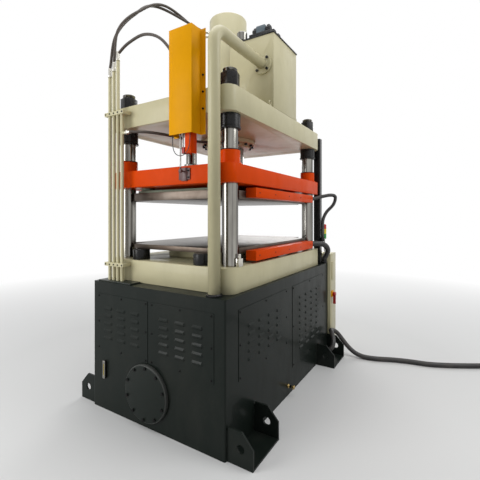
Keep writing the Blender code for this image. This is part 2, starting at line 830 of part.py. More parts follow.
def base_fittings(paint, chrome, brass):
    """Manhole cover, level gauge and drain plug on the oil tank."""
    half_x, half_y = BASE_WIDTH / 2, BASE_LENGTH / 2
    radius, thickness = MANHOLE_COVER / 2, MANHOLE_THICKNESS
    profile = [
        (0, 0),
        (radius, 0),
        (radius, thickness * 0.75),
        (radius - 0.008, thickness),
        (0, thickness),
    ]
    place(
        "manhole_cover",
        turned(profile, 32, axis="Y"),
        paint,
        (MANHOLE_X, -half_y - GAP, MANHOLE_Z),
    )
    gauge = rounded_block(
        (-GAUGE_WIDTH / 2, -GAUGE_DEPTH, -GAUGE_HEIGHT / 2),
        (GAUGE_WIDTH / 2, 0, GAUGE_HEIGHT / 2),
        GAUGE_WIDTH * 0.3,
        axis=1,
        segments=3,
    )
    gauge_x = -half_x + GAUGE_INSET
    gauge = place("level_gauge", gauge, chrome, (gauge_x, -half_y - GAP, GAUGE_Z))
    window = block(
        (-GAUGE_WIDTH * 0.22, -GAUGE_DEPTH - 0.01, -GAUGE_HEIGHT * 0.32),
        (GAUGE_WIDTH * 0.22, -GAUGE_DEPTH * 0.5, GAUGE_HEIGHT * 0.32),
    )
    cut(gauge, window, "gauge_window")
    drain_radius = DRAIN_DIAMETER / 2
    plug = turned(
        [
            (0, 0),
            (drain_radius, 0),
            (drain_radius, 0.012),
            (drain_radius * 0.62, 0.014),
            (drain_radius * 0.62, DRAIN_LENGTH - 0.018),
            (drain_radius * 0.95, DRAIN_LENGTH - 0.016),
            (drain_radius * 0.95, DRAIN_LENGTH),
            (0, DRAIN_LENGTH),
        ],
        16,
        axis="X",
    )
    drain_y = -half_y + TANK_LENGTH - DRAIN_INSET
    place("drain_plug", plug, brass, (half_x + GAP, drain_y, DRAIN_Z))


def pump_motor(finish):
    """Electric motor with its bell housing and pump, on two feet in the rear bay of the base."""
    radius, flange = MOTOR_DIAMETER / 2, MOTOR_FLANGE / 2
    bell, pump = BELL_DIAMETER / 2, PUMP_DIAMETER / 2
    face = MOTOR_LENGTH / 2
    bell_start = face + MOTOR_FLANGE_THICKNESS
    pump_start = bell_start + BELL_LENGTH
    profile = [
        (0, -face),
        (radius * 0.72, -face),
        (radius, -face + radius * 0.27),
        (radius, face),
        (flange, face),
        (flange, bell_start),
        (bell, bell_start + 0.010),
        (bell, pump_start),
        (pump, pump_start + 0.010),
        (pump, pump_start + PUMP_LENGTH),
        (0, pump_start + PUMP_LENGTH),
    ]
    motor = place(
        "pump_motor",
        turned(profile, 24, axis="X"),
        finish,
        (MOTOR_SHIFT, MOTOR_Y, BASE_SHEET + GAP + MOTOR_HEIGHT),
    )
    wide, long, tall = MOTOR_FOOT
    for index, side in enumerate((-1, 1)):
        x = side * MOTOR_FOOT_PITCH / 2
        foot = block(
            (x - wide / 2, -long / 2, -MOTOR_HEIGHT),
            (x + wide / 2, long / 2, -MOTOR_HEIGHT + tall),
        )
        weld(motor, foot, f"motor_foot_{index}")


def columns(chrome, black):
    """Four chromed columns, each with a hexagon nut on the crown and a round nut under it."""
    shoulder = CROWN_TOP + GAP
    top = shoulder + CROWN_NUT_HEIGHT + THREAD_STANDOUT
    radius, thread = COLUMN_DIAMETER / 2, THREAD_DIAMETER / 2
    for x, y, name in COLUMN_PLACES:
        profile = [
            (0, BED_BOTTOM),
            (radius - 0.004, BED_BOTTOM),
            (radius, BED_BOTTOM + 0.004),
            (radius, shoulder - 0.002),
            (thread, shoulder),
            (thread, top - 0.004),
            (thread - 0.004, top),
            (0, top),
        ]
        place(f"column_{name}", turned(profile), chrome, (x, y, 0))
        nut = prism(hexagon(CROWN_NUT_ACROSS, CROWN_NUT_TURN), 0, CROWN_NUT_HEIGHT)
        nut = place(f"crown_nut_{name}", nut, black, (x, y, shoulder))
        bore = rod(THREAD_DIAMETER + 2 * GAP, -0.01, CROWN_NUT_HEIGHT + 0.01)
        cut(nut, bore, f"crown_nut_{name}_thread")
        half, rim, bored = (
            CLAMP_NUT_DIAMETER / 2,
            CLAMP_NUT_RIM / 2,
            radius + GAP,
        )
        ring = [
            (bored, 0),
            (rim - 0.004, 0),
            (rim, 0.004),
            (rim, 0.016),
            (half, 0.022),
            (half, CLAMP_NUT_HEIGHT),
            (bored, CLAMP_NUT_HEIGHT),
        ]
        low = CROWN_BOTTOM - GAP - CLAMP_NUT_HEIGHT
        place(f"clamp_nut_{name}", turned(ring), black, (x, y, low))


def crown(finish):
    """The top plate, bored for the columns, the main cylinder and the lock rod."""
    plate = frame_plate("crown", CROWN_BOTTOM, CROWN_THICKNESS, 0, finish)
    bore_for_columns(plate, -0.01, CROWN_THICKNESS + 0.01)
    main = rod(CYLINDER_DIAMETER + 2 * GAP, -0.01, CROWN_THICKNESS + 0.01, 36)
    rod(
        LOCK_ROD_DIAMETER + 2 * GAP,
        -0.01,
        CROWN_THICKNESS + 0.01,
        24,
        (LOCK_ROD_X, LOCK_ROD_Y - PLATE_Y, 0),
        "Z",
        main,
    )
    cut(plate, main, "crown_centre_bores")


def main_cylinder(finish):
    """The cylinder tube hangs through the crown on its lower flange; its bore guides the ram."""
    outer, flange, snout = CYLINDER_DIAMETER / 2, CYLINDER_FLANGE / 2, CYLINDER_SNOUT / 2
    bore = RAM_DIAMETER / 2 + GAP
    flange_top = CROWN_BOTTOM - GAP
    flange_low = flange_top - CYLINDER_FLANGE_HEIGHT
    low = flange_low - CYLINDER_SNOUT_HEIGHT
    profile = [
        (bore, low),
        (snout - 0.006, low),
        (snout, low + 0.006),
        (snout, flange_low),
        (flange, flange_low),
        (flange, flange_top),
        (outer, flange_top),
        (outer, CYLINDER_TOP - 0.02),
        (outer - 0.02, CYLINDER_TOP),
        (0, CYLINDER_TOP),
        (0, CYLINDER_TOP - CYLINDER_END_WALL),
        (bore, CYLINDER_TOP - CYLINDER_END_WALL),
    ]
    shape = bmesh.new()
    points = [shape.verts.new((radius, 0, height)) for radius, height in profile]
    edges = [shape.edges.new(pair) for pair in zip(points, points[1:])]
    edges.append(shape.edges.new((points[-1], points[0])))
    edges.remove(edges[9])
    bmesh.ops.spin(
        shape,
        geom=points + edges,
        cent=(0, 0, 0),
        axis=(0, 0, 1),
        angle=2 * math.pi,
        steps=36,
        use_merge=True,
    )
    bmesh.ops.remove_doubles(shape, verts=shape.verts, dist=0.00001)
    loose = [edge for edge in shape.edges if not edge.link_faces]
    bmesh.ops.delete(shape, geom=loose, context="EDGES")
    place("main_cylinder", shape, finish, (0, PLATE_Y, 0))


def fill_tank(paint, black, steel):
    """The sheet tank beside the cylinder, its lid with the valves, and the pipe that feeds it."""
    right = RIGHT_FACE
    left = TANK_BOX_LEFT
    half = TANK_BOX_LENGTH / 2
    bottom = CROWN_TOP + GAP
    tank = rounded_block(
        (left, -half, 0), (right, half, TANK_BOX_HEIGHT), 0.006, segments=2
    )
    tank = place("oil_tank", tank, paint, (0, TANK_BOX_Y, bottom))
    sheet = TANK_BOX_SHEET
    space = block(
        (left + sheet, -half + sheet, sheet),
        (right - sheet, half - sheet, TANK_BOX_HEIGHT + 0.01),
    )
    cut(tank, space, "oil_tank_space")
    inlet = rod(
        PIPE_DIAMETER - 2 * PIPE_WALL,
        half - 0.05,
        half + 0.05,
        24,
        (PIPE_X, 0, CROWN_TOP + PIPE_RISE - bottom),
        "Y",
    )
    cut(tank, inlet, "oil_tank_inlet")

    lid_low = bottom + TANK_BOX_HEIGHT + GAP
    edge, thickness = TANK_LID_EDGE, TANK_LID_THICKNESS
    lid = block(
        (left - edge, -half - edge, 0), (right + edge, half + edge, thickness)
    )
    lid = place("valve_block", lid, black, (0, TANK_BOX_Y, lid_low))
    wide, long, high = MANIFOLD_SIZE
    middle = (left + right) / 2 + MANIFOLD_SHIFT
    manifold = block(
        (middle - wide / 2, -long / 2, thickness * 0.5),
        (middle + wide / 2, long / 2, thickness + high),
    )
    weld(lid, manifold, "valve_manifold")
    wide, long, tall = VALVE_SIZE
    for index in range(3):
        y = (index - 1) * VALVE_PITCH
        valve = block(
            (middle - wide * 0.5, y - long / 2, thickness + high - 0.005),
            (middle + wide * 0.5, y + long / 2, thickness + high + tall),
        )
        weld(lid, valve, f"valve_{index}")
    breather = rod(
        BREATHER_DIAMETER,
        thickness * 0.5,
        thickness + BREATHER_HEIGHT,
        24,
        (left + BREATHER_INSET, -half + BREATHER_DIAMETER, 0),
    )
    weld(lid, breather, "tank_breather")


def return_pipe(finish):
    """The wide oil pipe: foot flange on the base, one bend and a bolting flange on the tank."""
    tank_front = TANK_BOX_Y - TANK_BOX_LENGTH / 2 - GAP
    foot = BASE_HEIGHT + GAP
    bend, rise = PIPE_BEND, CROWN_TOP + PIPE_RISE
    points = [(PIPE_X, FRONT_LINE_Y, foot + PIPE_FOOT_THICKNESS / 3)]
    for step in range(9):
        angle = math.radians(90 * step / 8)
        points.append(
            (
                PIPE_X,
                FRONT_LINE_Y + bend - bend * math.cos(angle),
                rise - bend + bend * math.sin(angle),
            )
        )
    points.append((PIPE_X, tank_front - PIPE_FLANGE_THICKNESS / 3, rise))
    pipe = place("return_pipe", tube(points, PIPE_DIAMETER, 20), finish)
    foot_size = 2 * (FRONT_LINE_STANDOFF - PIPE_FOOT_CLEARANCE)
    foot_top = foot + PIPE_FOOT_THICKNESS
    foot_flange = rod(foot_size, foot, foot_top, 20, (PIPE_X, FRONT_LINE_Y, 0))
    weld(pipe, foot_flange, "pipe_foot")
    flange = rod(
        PIPE_FLANGE,
        -tank_front,
        -tank_front + PIPE_FLANGE_THICKNESS,
        20,
        (PIPE_X, 0, rise),
        "Y",
    )
    weld(pipe, flange, "pipe_flange")


def riser_pipes(finish):
    """Four thin pipes on a foot plate, held by clamp bars that stand off the bed and the crown."""
    foot = BASE_HEIGHT + GAP
    width, depth, thick = RISER_PLATE
    plate_left = -RIGHT_FACE + RISER_PLATE_INSET
    y = FRONT_LINE_Y
    plate = block(
        (plate_left, y - depth / 2, foot),
        (plate_left + width, y + depth / 2, foot + thick),
    )
    risers = place("riser_pipes", plate, finish)
    for number, (x, top) in enumerate(zip(RISER_XS, RISER_TOPS)):
        pipe = rod(RISER_DIAMETER, foot + thick * 0.5, top, 12, (x, y, 0))
        weld(risers, pipe, f"riser_{number}")
    left = min(RISER_XS) - CLAMP_BAR_MARGIN
    right = max(RISER_XS) + CLAMP_BAR_MARGIN
    wall = FRONT_FACE - GAP
    half_depth, half_height = CLAMP_BAR_DEPTH / 2, CLAMP_BAR_HEIGHT / 2
    for number, z in enumerate((BED_TOP - LOWER_CLAMP_DROP, CROWN_TOP - UPPER_CLAMP_DROP)):
        low, high = z - half_height, z + half_height
        bar = block((left, y - half_depth, low), (right, y + half_depth, high))
        weld(risers, bar, f"clamp_bar_{number}")
        stand = block(
            (right - 0.001 - CLAMP_STAND_WIDTH, y + half_depth - 0.002, low + 0.001),
            (right - 0.001, wall, high - 0.001),
        )
        weld(risers, stand, f"clamp_stand_{number}")
    branch = rod(
        RISER_BRANCH_DIAMETER,
        0,
        RISER_BRANCH_REACH,
        12,
        (RISER_XS[3], y, CROWN_BOTTOM - RISER_BRANCH_DROP),
        "X",
    )
    weld(risers, branch, "riser_branch")


def guard_cover(finish):
    """The folded cover on the crown's front face: a hat section with a flange on each side."""
    back = FRONT_FACE - GAP
    front = back - GUARD_DEPTH
    sheet = GUARD_SHEET
    left, right = GUARD_LEFT, GUARD_LEFT + GUARD_WIDTH
    outline = [
        (left - GUARD_FLANGE, back),
        (left - GUARD_FLANGE, back - sheet),
        (left, back - sheet),
        (left, front),
        (right, front),
        (right, back - sheet),
        (right + GUARD_FLANGE, back - sheet),
        (right + GUARD_FLANGE, back),
        (right - sheet, back),
        (right - sheet, front + sheet),
        (left + sheet, front + sheet),
        (left + sheet, back),
    ]
    guard = prism(outline, 0, GUARD_DROP + CROWN_THICKNESS + GUARD_RISE)
    place("guard_cover", guard, finish, (0, 0, CROWN_BOTTOM - GUARD_DROP))


def sensor_parts(orange, aluminium, steel, black, slide):
    """Channel and position sensor on the crown, and the pull rod that the slide carries."""
    back = FRONT_FACE - GAP
    left = GUARD_LEFT + CHANNEL_INSET
    right = left + CHANNEL_WIDTH
    wall = CHANNEL_WALL
    front = back - CHANNEL_DEPTH
    outline = [
        (left, front),
        (right, front),
        (right, back),
        (right - wall, back),
        (right - wall, front + wall),
        (left + wall, front + wall),
        (left + wall, back),
        (left, back),
    ]
    top = CROWN_TOP + GUARD_RISE - CHANNEL_TOP_MARGIN
    channel = prism(outline, 0, top - CHANNEL_BOTTOM)
    place("sensor_channel", channel, orange, (0, 0, CHANNEL_BOTTOM))

    half = SENSOR_WIDTH / 2
    centre_x = left - GAP - half
    sensor_y = FRONT_FACE - SENSOR_STANDOFF
    cap = SENSOR_CAP_WIDTH / 2
    cap_top = CHANNEL_BOTTOM - SENSOR_CAP_OVERHANG + SENSOR_CAP_HEIGHT
    profile = rounded_block(
        (-half, -half, 0), (half, half, top - cap_top), half * 0.35, segments=2
    )
    sensor = place(
        "position_sensor", profile, aluminium, (centre_x, sensor_y, cap_top)
    )
    end_cap = rounded_block(
        (-cap + 0.010, -cap, -SENSOR_CAP_HEIGHT),
        (half, cap, 0.002),
        0.006,
        segments=2,
    )
    weld(sensor, end_cap, "sensor_end_cap")

    rod_low = SLIDE_BOTTOM + PULL_ROD_EYE_RISE
    rod_length = CROWN_TOP + SLED_RISE - rod_low
    pull_x = GUARD_LEFT + PULL_ROD_INSET
    pull = place(
        "sensor_rod",
        rod(PULL_ROD_DIAMETER, 0, rod_length, 12),
        steel,
        (pull_x, sensor_y, rod_low),
        slide,
    )
    sled_right = centre_x - half - GAP - pull_x
    sled = block(
        (-PULL_ROD_DIAMETER, -0.020, rod_length - 0.010),
        (sled_right, 0.020, rod_length + SLED_HEIGHT),
    )
    weld(pull, sled, "sensor_sled")
    eye = rod(PULL_ROD_EYE, -0.008, 0.008, 16, (0, 0, 0), "Y")
    weld(pull, eye, "rod_eye")
    slide_face = FRONT_FACE + SLIDE_INSET - GAP - sensor_y
    pin = rod(0.010, -slide_face + 0.002, 0.012, 12, (0, 0, 0), "Y")
    weld(pull, pin, "rod_eye_pin")
    lug = block(
        (-0.030, slide_face - 0.014, -0.070), (0.026, slide_face, 0.030)
    )
    weld(pull, lug, "rod_lug")


def slide_parts(orange, chrome, slide):
    """The slide with its bush housings, the ram on it and the lock rod."""
    plate = frame_plate(
        "slide", SLIDE_BOTTOM, SLIDE_THICKNESS, SLIDE_INSET, orange, slide
    )
    flange, bush = BUSH_FLANGE / 2, BUSH_DIAMETER / 2
    top = SLIDE_THICKNESS
    for x, y, name in COLUMN_PLACES:
        housing = [
            (0, top - 0.010),
            (flange, top - 0.010),
            (flange, top + BUSH_FLANGE_HEIGHT),
            (bush, top + BUSH_FLANGE_HEIGHT),
            (bush, top + BUSH_FLANGE_HEIGHT + BUSH_HEIGHT - 0.005),
            (bush - 0.005, top + BUSH_FLANGE_HEIGHT + BUSH_HEIGHT),
            (0, top + BUSH_FLANGE_HEIGHT + BUSH_HEIGHT),
        ]
        shape = turned(housing, 24, (x, y - PLATE_Y, 0))
        weld(plate, shape, f"bush_housing_{name}")
    bore_for_columns(plate, -0.01, top + BUSH_FLANGE_HEIGHT + BUSH_HEIGHT + 0.01)

    radius, flange = RAM_DIAMETER / 2, RAM_FLANGE / 2
    height = RAM_FLANGE_HEIGHT
    ram = [
        (0, 0),
        (flange - 0.004, 0),
        (flange, 0.004),
        (flange, height - 0.004),
        (flange - 0.004, height),
        (radius, height),
        (radius, RAM_LENGTH - 0.008),
        (radius - 0.008, RAM_LENGTH),
        (0, RAM_LENGTH),
    ]
    seat = SLIDE_TOP + GAP
    place("ram", turned(ram, 36), chrome, (0, PLATE_Y, seat), slide)

    radius = LOCK_ROD_DIAMETER / 2
    length = CROWN_TOP + LOCK_ROD_RISE - seat
    bar = [
        (0, 0),
        (radius * 1.35, 0),
        (radius * 1.35, 0.016),
        (radius, 0.018),
        (radius, length - 0.005),
        (radius - 0.005, length),
        (0, length),
    ]
    place("lock_rod", turned(bar, 24), chrome, (LOCK_ROD_X, LOCK_ROD_Y, seat), slide)


def lock_unit(finish):
    """The square body on the crown that clamps the lock rod."""
    half = LOCK_UNIT_WIDTH / 2
    unit = rounded_block(
        (-half, -half, 0), (half, half, LOCK_UNIT_HEIGHT), 0.008, segments=2
    )
    unit = place(
        "lock_unit", unit, finish, (LOCK_ROD_X, LOCK_ROD_Y, CROWN_TOP + GAP)
    )
    bore = rod(LOCK_ROD_DIAMETER + 2 * GAP, -0.01, LOCK_UNIT_HEIGHT + 0.01, 24)
    cut(unit, bore, "lock_unit_bore")


def platen_outline():
    """A rectangle whose four corners are notched round the columns."""
    x, y = PLATEN_WIDTH / 2, PLATEN_LENGTH / 2
    in_x, in_y = x - PLATEN_NOTCH_X, y - PLATEN_NOTCH_Y
    quarter = [(x, in_y), (in_x, in_y), (in_x, y)]
    mirrored = [(-a, b) for a, b in reversed(quarter)]
    upper = quarter + mirrored
    lower = [(-a, -b) for a, b in upper]
    return upper + lower


def wiring_cover(name, bottom, finish, parent=None):
    """A sheet box along the right side of a platen, open towards the platen."""
    left = PLATEN_WIDTH / 2 + GAP
    half = (COVER_REAR - COVER_FRONT) / 2
    sheet = COVER_SHEET
    cover = place(
        name,
        block((0, -half, 0), (COVER_WIDTH, half, COVER_HEIGHT)),
        finish,
        (left, (COVER_FRONT + COVER_REAR) / 2, bottom),
        parent,
    )
    space = block(
        (-0.01, -half + sheet, sheet),
        (COVER_WIDTH - sheet, half - sheet, COVER_HEIGHT - sheet),
    )
    cut(cover, space, name + "_space")


def lower_platen(steel, black, paint, orange):
    """Lower platen on its stools and bolster, with the wiring cover beside it."""
    place(
        "lower_platen",
        prism(platen_outline(), 0, LOWER_PLATEN_THICKNESS),
        steel,
        (0, PLATEN_Y, LOWER_PLATEN_BOTTOM),
    )
    seat, height = PACKING_BOTTOM, PACKING_HEIGHT
    for x, y, name in COLUMN_PLACES:
        side, end = math.copysign(1, x), math.copysign(1, y - PLATE_Y)
        stool = [
            (0, 0),
            (STOOL_DIAMETER / 2, 0),
            (STOOL_DIAMETER / 2, height - 0.004),
            (STOOL_DIAMETER / 2 - 0.004, height),
            (0, height),
        ]
        place(
            f"platen_stool_{name}",
            turned(stool, 20),
            black,
            (side * STOOL_X, PLATE_Y + end * STOOL_Y, seat),
        )
    half_x, half_y = BOLSTER_WIDTH / 2, BOLSTER_LENGTH / 2
    place(
        "bolster",
        rounded_block(
            (-half_x, -half_y, 0), (half_x, half_y, height), 0.01, segments=2
        ),
        paint,
        (0, PLATEN_Y, seat),
    )
    wiring_cover("lower_wiring_cover", LOWER_COVER_BOTTOM, orange)


def upper_platen(steel, board_finish, orange, slide):
    """Upper platen under the slide, with the insulation board between them."""
    place(
        "upper_platen",
        prism(platen_outline(), 0, UPPER_PLATEN_THICKNESS),
        steel,
        (0, PLATEN_Y, UPPER_PLATEN_BOTTOM),
        slide,
    )
    half_x = PLATEN_WIDTH / 2 - PLATEN_NOTCH_X - BOARD_INSET_X
    half_y = PLATEN_LENGTH / 2 - BOARD_INSET_Y
    board = place(
        "insulation_board",
        block((-half_x, -half_y, 0), (half_x, half_y, BOARD_THICKNESS)),
        board_finish,
        (0, PLATEN_Y, BOARD_BOTTOM),
        slide,
    )
    for side in (-1, 1):
        for end in (-1, 0, 1):
            pad = rod(
                SPACER_DIAMETER,
                BOARD_THICKNESS * 0.5,
                INSULATION_HEIGHT,
                12,
                (side * SPACER_X, end * SPACER_Y, 0),
            )
            weld(board, pad, f"board_pad_{side}_{end}")
    wiring_cover("upper_wiring_cover", UPPER_COVER_BOTTOM, orange, slide)


def control_cabinet(paint, door, switch):
    """The flat cabinet on the base's rear wall, its door, main switch and signal lamp."""
    low = (CABINET_LEFT, 0, CABINET_BOTTOM)
    high = (CABINET_RIGHT, CABINET_DEPTH, CABINET_TOP)
    cabinet = place(
        "control_cabinet", block(low, high), paint["cream"], (0, CABINET_Y, 0)
    )
    sheet = CABINET_SHEET
    space = block(
        (CABINET_LEFT + sheet, sheet, CABINET_BOTTOM + sheet),
        (CABINET_RIGHT - sheet, CABINET_DEPTH + 0.01, CABINET_TOP - sheet),
    )
    cut(cabinet, space, "cabinet_space")
    wide, long, tall = JUNCTION_SIZE
    middle, junction_z = CABINET_DEPTH / 2, CABINET_TOP - JUNCTION_DROP
    junction = block(
        (CABINET_RIGHT - 0.001, middle - long / 2, junction_z - tall / 2),
        (CABINET_RIGHT + wide, middle + long / 2, junction_z + tall / 2),
    )
    weld(cabinet, junction, "cabinet_junction_box")

    edge, rim = DOOR_EDGE, DOOR_EDGE + DOOR_RIM
    width = CABINET_WIDTH
    pan = block(
        (edge, 0, CABINET_BOTTOM + edge),
        (width - edge, DOOR_THICKNESS, CABINET_TOP - edge),
    )
    pan = place(
        "cabinet_door",
        pan,
        paint["cream"],
        (CABINET_LEFT, CABINET_Y + CABINET_DEPTH + GAP, 0),
        door,
    )
    hollow = block(
        (rim, -0.01, CABINET_BOTTOM + rim),
        (width - rim, DOOR_THICKNESS - DOOR_SHEET, CABINET_TOP - rim),
    )
    cut(pan, hollow, "cabinet_door_hollow")

    half = SWITCH_PLATE / 2
    face = CABINET_RIGHT + GAP
    plate = rounded_block(
        (0, -half, -half), (SWITCH_DEPTH, half, half), 0.006, axis=0, segments=2
    )
    place("main_switch", plate, paint["yellow"], (face, SWITCH_Y, SWITCH_Z))
    start = face + SWITCH_DEPTH + GAP
    knob = place(
        "switch_handle",
        rod(KNOB_DIAMETER, 0, KNOB_HEIGHT, 24, (0, 0, 0), "X"),
        paint["red"],
        (start, SWITCH_Y, SWITCH_Z),
        switch,
    )
    lever = rounded_block(
        (0.004, -HANDLE_WIDTH / 2, -HANDLE_LENGTH),
        (0.004 + HANDLE_DEPTH, HANDLE_WIDTH / 2, 0.012),
        0.006,
        axis=0,
        segments=2,
    )
    weld(knob, lever, "switch_lever")

    radius, pole = LAMP_DIAMETER / 2, LAMP_POLE / 2
    foot, rise = LAMP_FOOT / 2, LAMP_POLE_HEIGHT
    top = rise + 3 * LAMP_SEGMENT
    profile = [
        (0, 0),
        (foot, 0),
        (foot, 0.006),
        (pole, 0.008),
        (pole, rise - 0.01),
        (radius, rise),
        (radius, top - 0.010),
        (radius - 0.010, top),
        (0, top),
    ]
    place(
        "signal_lamp",
        turned(profile, 20),
        paint["steel"],
        (CABINET_RIGHT - LAMP_INSET, CABINET_Y + LAMP_SETBACK, CABINET_TOP + GAP),
    )


def cable_trunk(finish):
    """The sheet duct behind the frame, from the base up to the crown."""
    low = REAR_FACE + GAP
    half = TRUNK_WIDTH / 2
    duct = block(
        (-half, TRUNK_STANDOFF, 0),
        (half, TRUNK_STANDOFF + TRUNK_DEPTH, CROWN_TOP - TRUNK_DROP - BED_BOTTOM),
    )
    trunk = place("cable_trunk", duct, finish, (TRUNK_X, low, BED_BOTTOM))
    height = TRUNK_STRAP_HEIGHT
    for number, z in enumerate((BED_TOP - 1.5 * height, CROWN_BOTTOM + 0.5 * height)):
        strap = block(
            (-half + 0.01, 0, z - BED_BOTTOM),
            (half - 0.01, TRUNK_STANDOFF + 0.01, z + height - BED_BOTTOM),
        )
        weld(trunk, strap, f"trunk_strap_{number}")


def held_line(name, points, diameter, finish, parent=None, sides=8, spacing=0.065):
    """A hose or conduit held at both ends, straight where it leaves and enters its fittings."""
    route = [points[0], *smooth_route(points[1:-1], spacing), points[-1]]
    line = place(name, tube(route, diameter, sides), finish)
    if parent:
        line.parent = parent
        line.location = -parent.location
    return line


def hoses(finish, conduit, slide):
    """Hydraulic hoses from the riser pipes and the conduits of the wiring covers."""
    y = FRONT_LINE_Y
    branch_x, branch_z = RISER_XS[3] + RISER_BRANCH_REACH + GAP, CROWN_BOTTOM - RISER_BRANCH_DROP
    port_y = PLATE_Y - CYLINDER_SNOUT / 2 - GAP
    held_line(
        "crown_hose",
        [
            (branch_x, y, branch_z),
            (branch_x + 0.05, y, branch_z),
            (branch_x + 0.19, y + 0.07, branch_z - 0.008),
            (-0.06, port_y - 0.55, branch_z - 0.020),
            (-0.02, port_y - 0.30, branch_z - 0.022),
            (0.0, port_y - 0.15, branch_z - 0.008),
            (0.0, port_y - 0.03, branch_z),
            (0.0, port_y, branch_z),
        ],
        HOSE_DIAMETER,
        finish,
    )
    x, top = RISER_XS[2], RISER_TOPS[2]
    unit_left = LOCK_ROD_X - LOCK_UNIT_WIDTH / 2 - GAP
    unit_z = CROWN_TOP + LOCK_UNIT_HEIGHT / 2
    held_line(
        "arch_hose",
        [
            (x, y, top + GAP),
            (x, y, top + 0.060),
            (x + 0.102, y + 0.02, top + 0.131),
            (x + 0.282, y + 0.03, top + 0.161),
            (unit_left - 0.187, y + 0.05, top + 0.096),
            (unit_left - 0.077, y + 0.08, top - 0.054),
            (unit_left - 0.067, y + 0.11, top - 0.204),
            (unit_left - 0.030, LOCK_ROD_Y, unit_z),
            (unit_left, LOCK_ROD_Y, unit_z),
        ],
        HOSE_DIAMETER,
        finish,
    )
    side = CYLINDER_DIAMETER / 2 + GAP
    port_z = CYLINDER_TOP - TOP_HOSE_DROP
    for number, shift in ((1, 0.0), (2, 1.0)):
        x = RISER_XS[2 - number]
        top = RISER_TOPS[2 - number] + GAP
        end_angle = math.radians(205 + 22 * shift)
        reach = (math.cos(end_angle), math.sin(end_angle))
        end = (side * reach[0], PLATE_Y + side * reach[1], port_z)
        lead = (end[0] + 0.06 * reach[0], end[1] + 0.06 * reach[1], end[2])
        held_line(
            f"top_hose_{number}",
            [
                (x, y, top),
                (x, y, top + 0.08),
                (x + 0.03 + 0.02 * shift, y + 0.02, top + 0.36),
                (x + 0.12, y + 0.16, top + 0.56 + 0.03 * shift),
                (x + 0.20, y + 0.42 - 0.06 * shift, port_z + 0.10 - 0.02 * shift),
                lead,
                end,
            ],
            HOSE_DIAMETER,
            finish,
        )
    cover_end = COVER_REAR + GAP
    cover_x = PLATEN_WIDTH / 2 + GAP + COVER_WIDTH / 2
    column_x, column_y = COLUMN_SPACING_X / 2, PLATE_Y + COLUMN_SPACING_Y / 2
    upper_z = UPPER_COVER_BOTTOM + COVER_HEIGHT / 2
    trunk_side = TRUNK_X + TRUNK_WIDTH / 2 + UPPER_CONDUIT_DIAMETER / 2 + GAP
    held_line(
        "upper_conduit",
        [
            (cover_x, cover_end, upper_z),
            (cover_x, cover_end + CONDUIT_LEAD, upper_z),
            (column_x + 0.148, column_y + 0.055, upper_z + 0.035),
            (column_x + 0.228, column_y + 0.145, upper_z + 0.055),
            (column_x + 0.263, column_y + 0.200, upper_z + 0.035),
            (column_x + 0.238, column_y + 0.210, upper_z - 0.050),
            (trunk_side + 0.040, TRUNK_Y + 0.019, upper_z - 0.140),
            (trunk_side + 0.004, TRUNK_Y + 0.004, upper_z - 0.230),
            (trunk_side, TRUNK_Y, upper_z - 0.340),
            (trunk_side, TRUNK_Y, upper_z - UPPER_CONDUIT_FALL),
        ],
        UPPER_CONDUIT_DIAMETER,
        conduit,
        slide,
    )
    lower_z = LOWER_COVER_BOTTOM + COVER_HEIGHT / 2
    foot_x, foot_y = BASE_WIDTH / 2 - LOWER_CONDUIT_INSET, BASE_LENGTH / 2 - LOWER_CONDUIT_INSET
    held_line(
        "lower_conduit",
        [
            (cover_x, cover_end, lower_z),
            (cover_x, cover_end + CONDUIT_LEAD, lower_z),
            (column_x + 0.110, column_y - 0.010, lower_z + 0.002),
            (column_x + 0.142, column_y + 0.085, lower_z - 0.006),
            (column_x + 0.164, column_y + 0.175, lower_z - 0.040),
            (foot_x + 0.059, foot_y - 0.045, lower_z - 0.095),
            (foot_x + 0.025, foot_y - 0.005, lower_z - 0.160),
            (foot_x, foot_y, BASE_HEIGHT + 0.050),
            (foot_x, foot_y, BASE_HEIGHT + GAP),
        ],
        LOWER_CONDUIT_DIAMETER,
        conduit,
    )


# Floor cable: from its gland between the ears of the rear bracket, over the rear ear and along the floor
CABLE_ROUTE = [
    (BASE_WIDTH / 2 + GLAND_LENGTH + GAP, GLAND_Y, GLAND_Z),
    (0.790, GLAND_Y, GLAND_Z),
    (0.833, 0.788, 0.183),
    (0.838, 0.825, 0.240),
    (0.812, 0.880, 0.288),
    (0.778, 0.940, 0.309),
    (0.760, 0.995, 0.304),
    (0.768, 1.055, 0.288),
    (0.802, 1.108, 0.246),
    (0.858, 1.124, 0.174),
    (0.925, 1.120, 0.104),
    (1.005, 1.108, 0.053),
    (1.100, 1.108, 0.028),
    (1.230, 1.130, 0.0255),
    (1.406, 1.200, 0.0255),
    (1.570, 1.245, 0.0255),
    (1.741, 1.275, 0.0255),
    (1.900, 1.340, 0.0255),
    (2.050, 1.420, 0.0255),
    (2.200, 1.510, 0.0255),
    (2.320, 1.590, 0.0255),
]


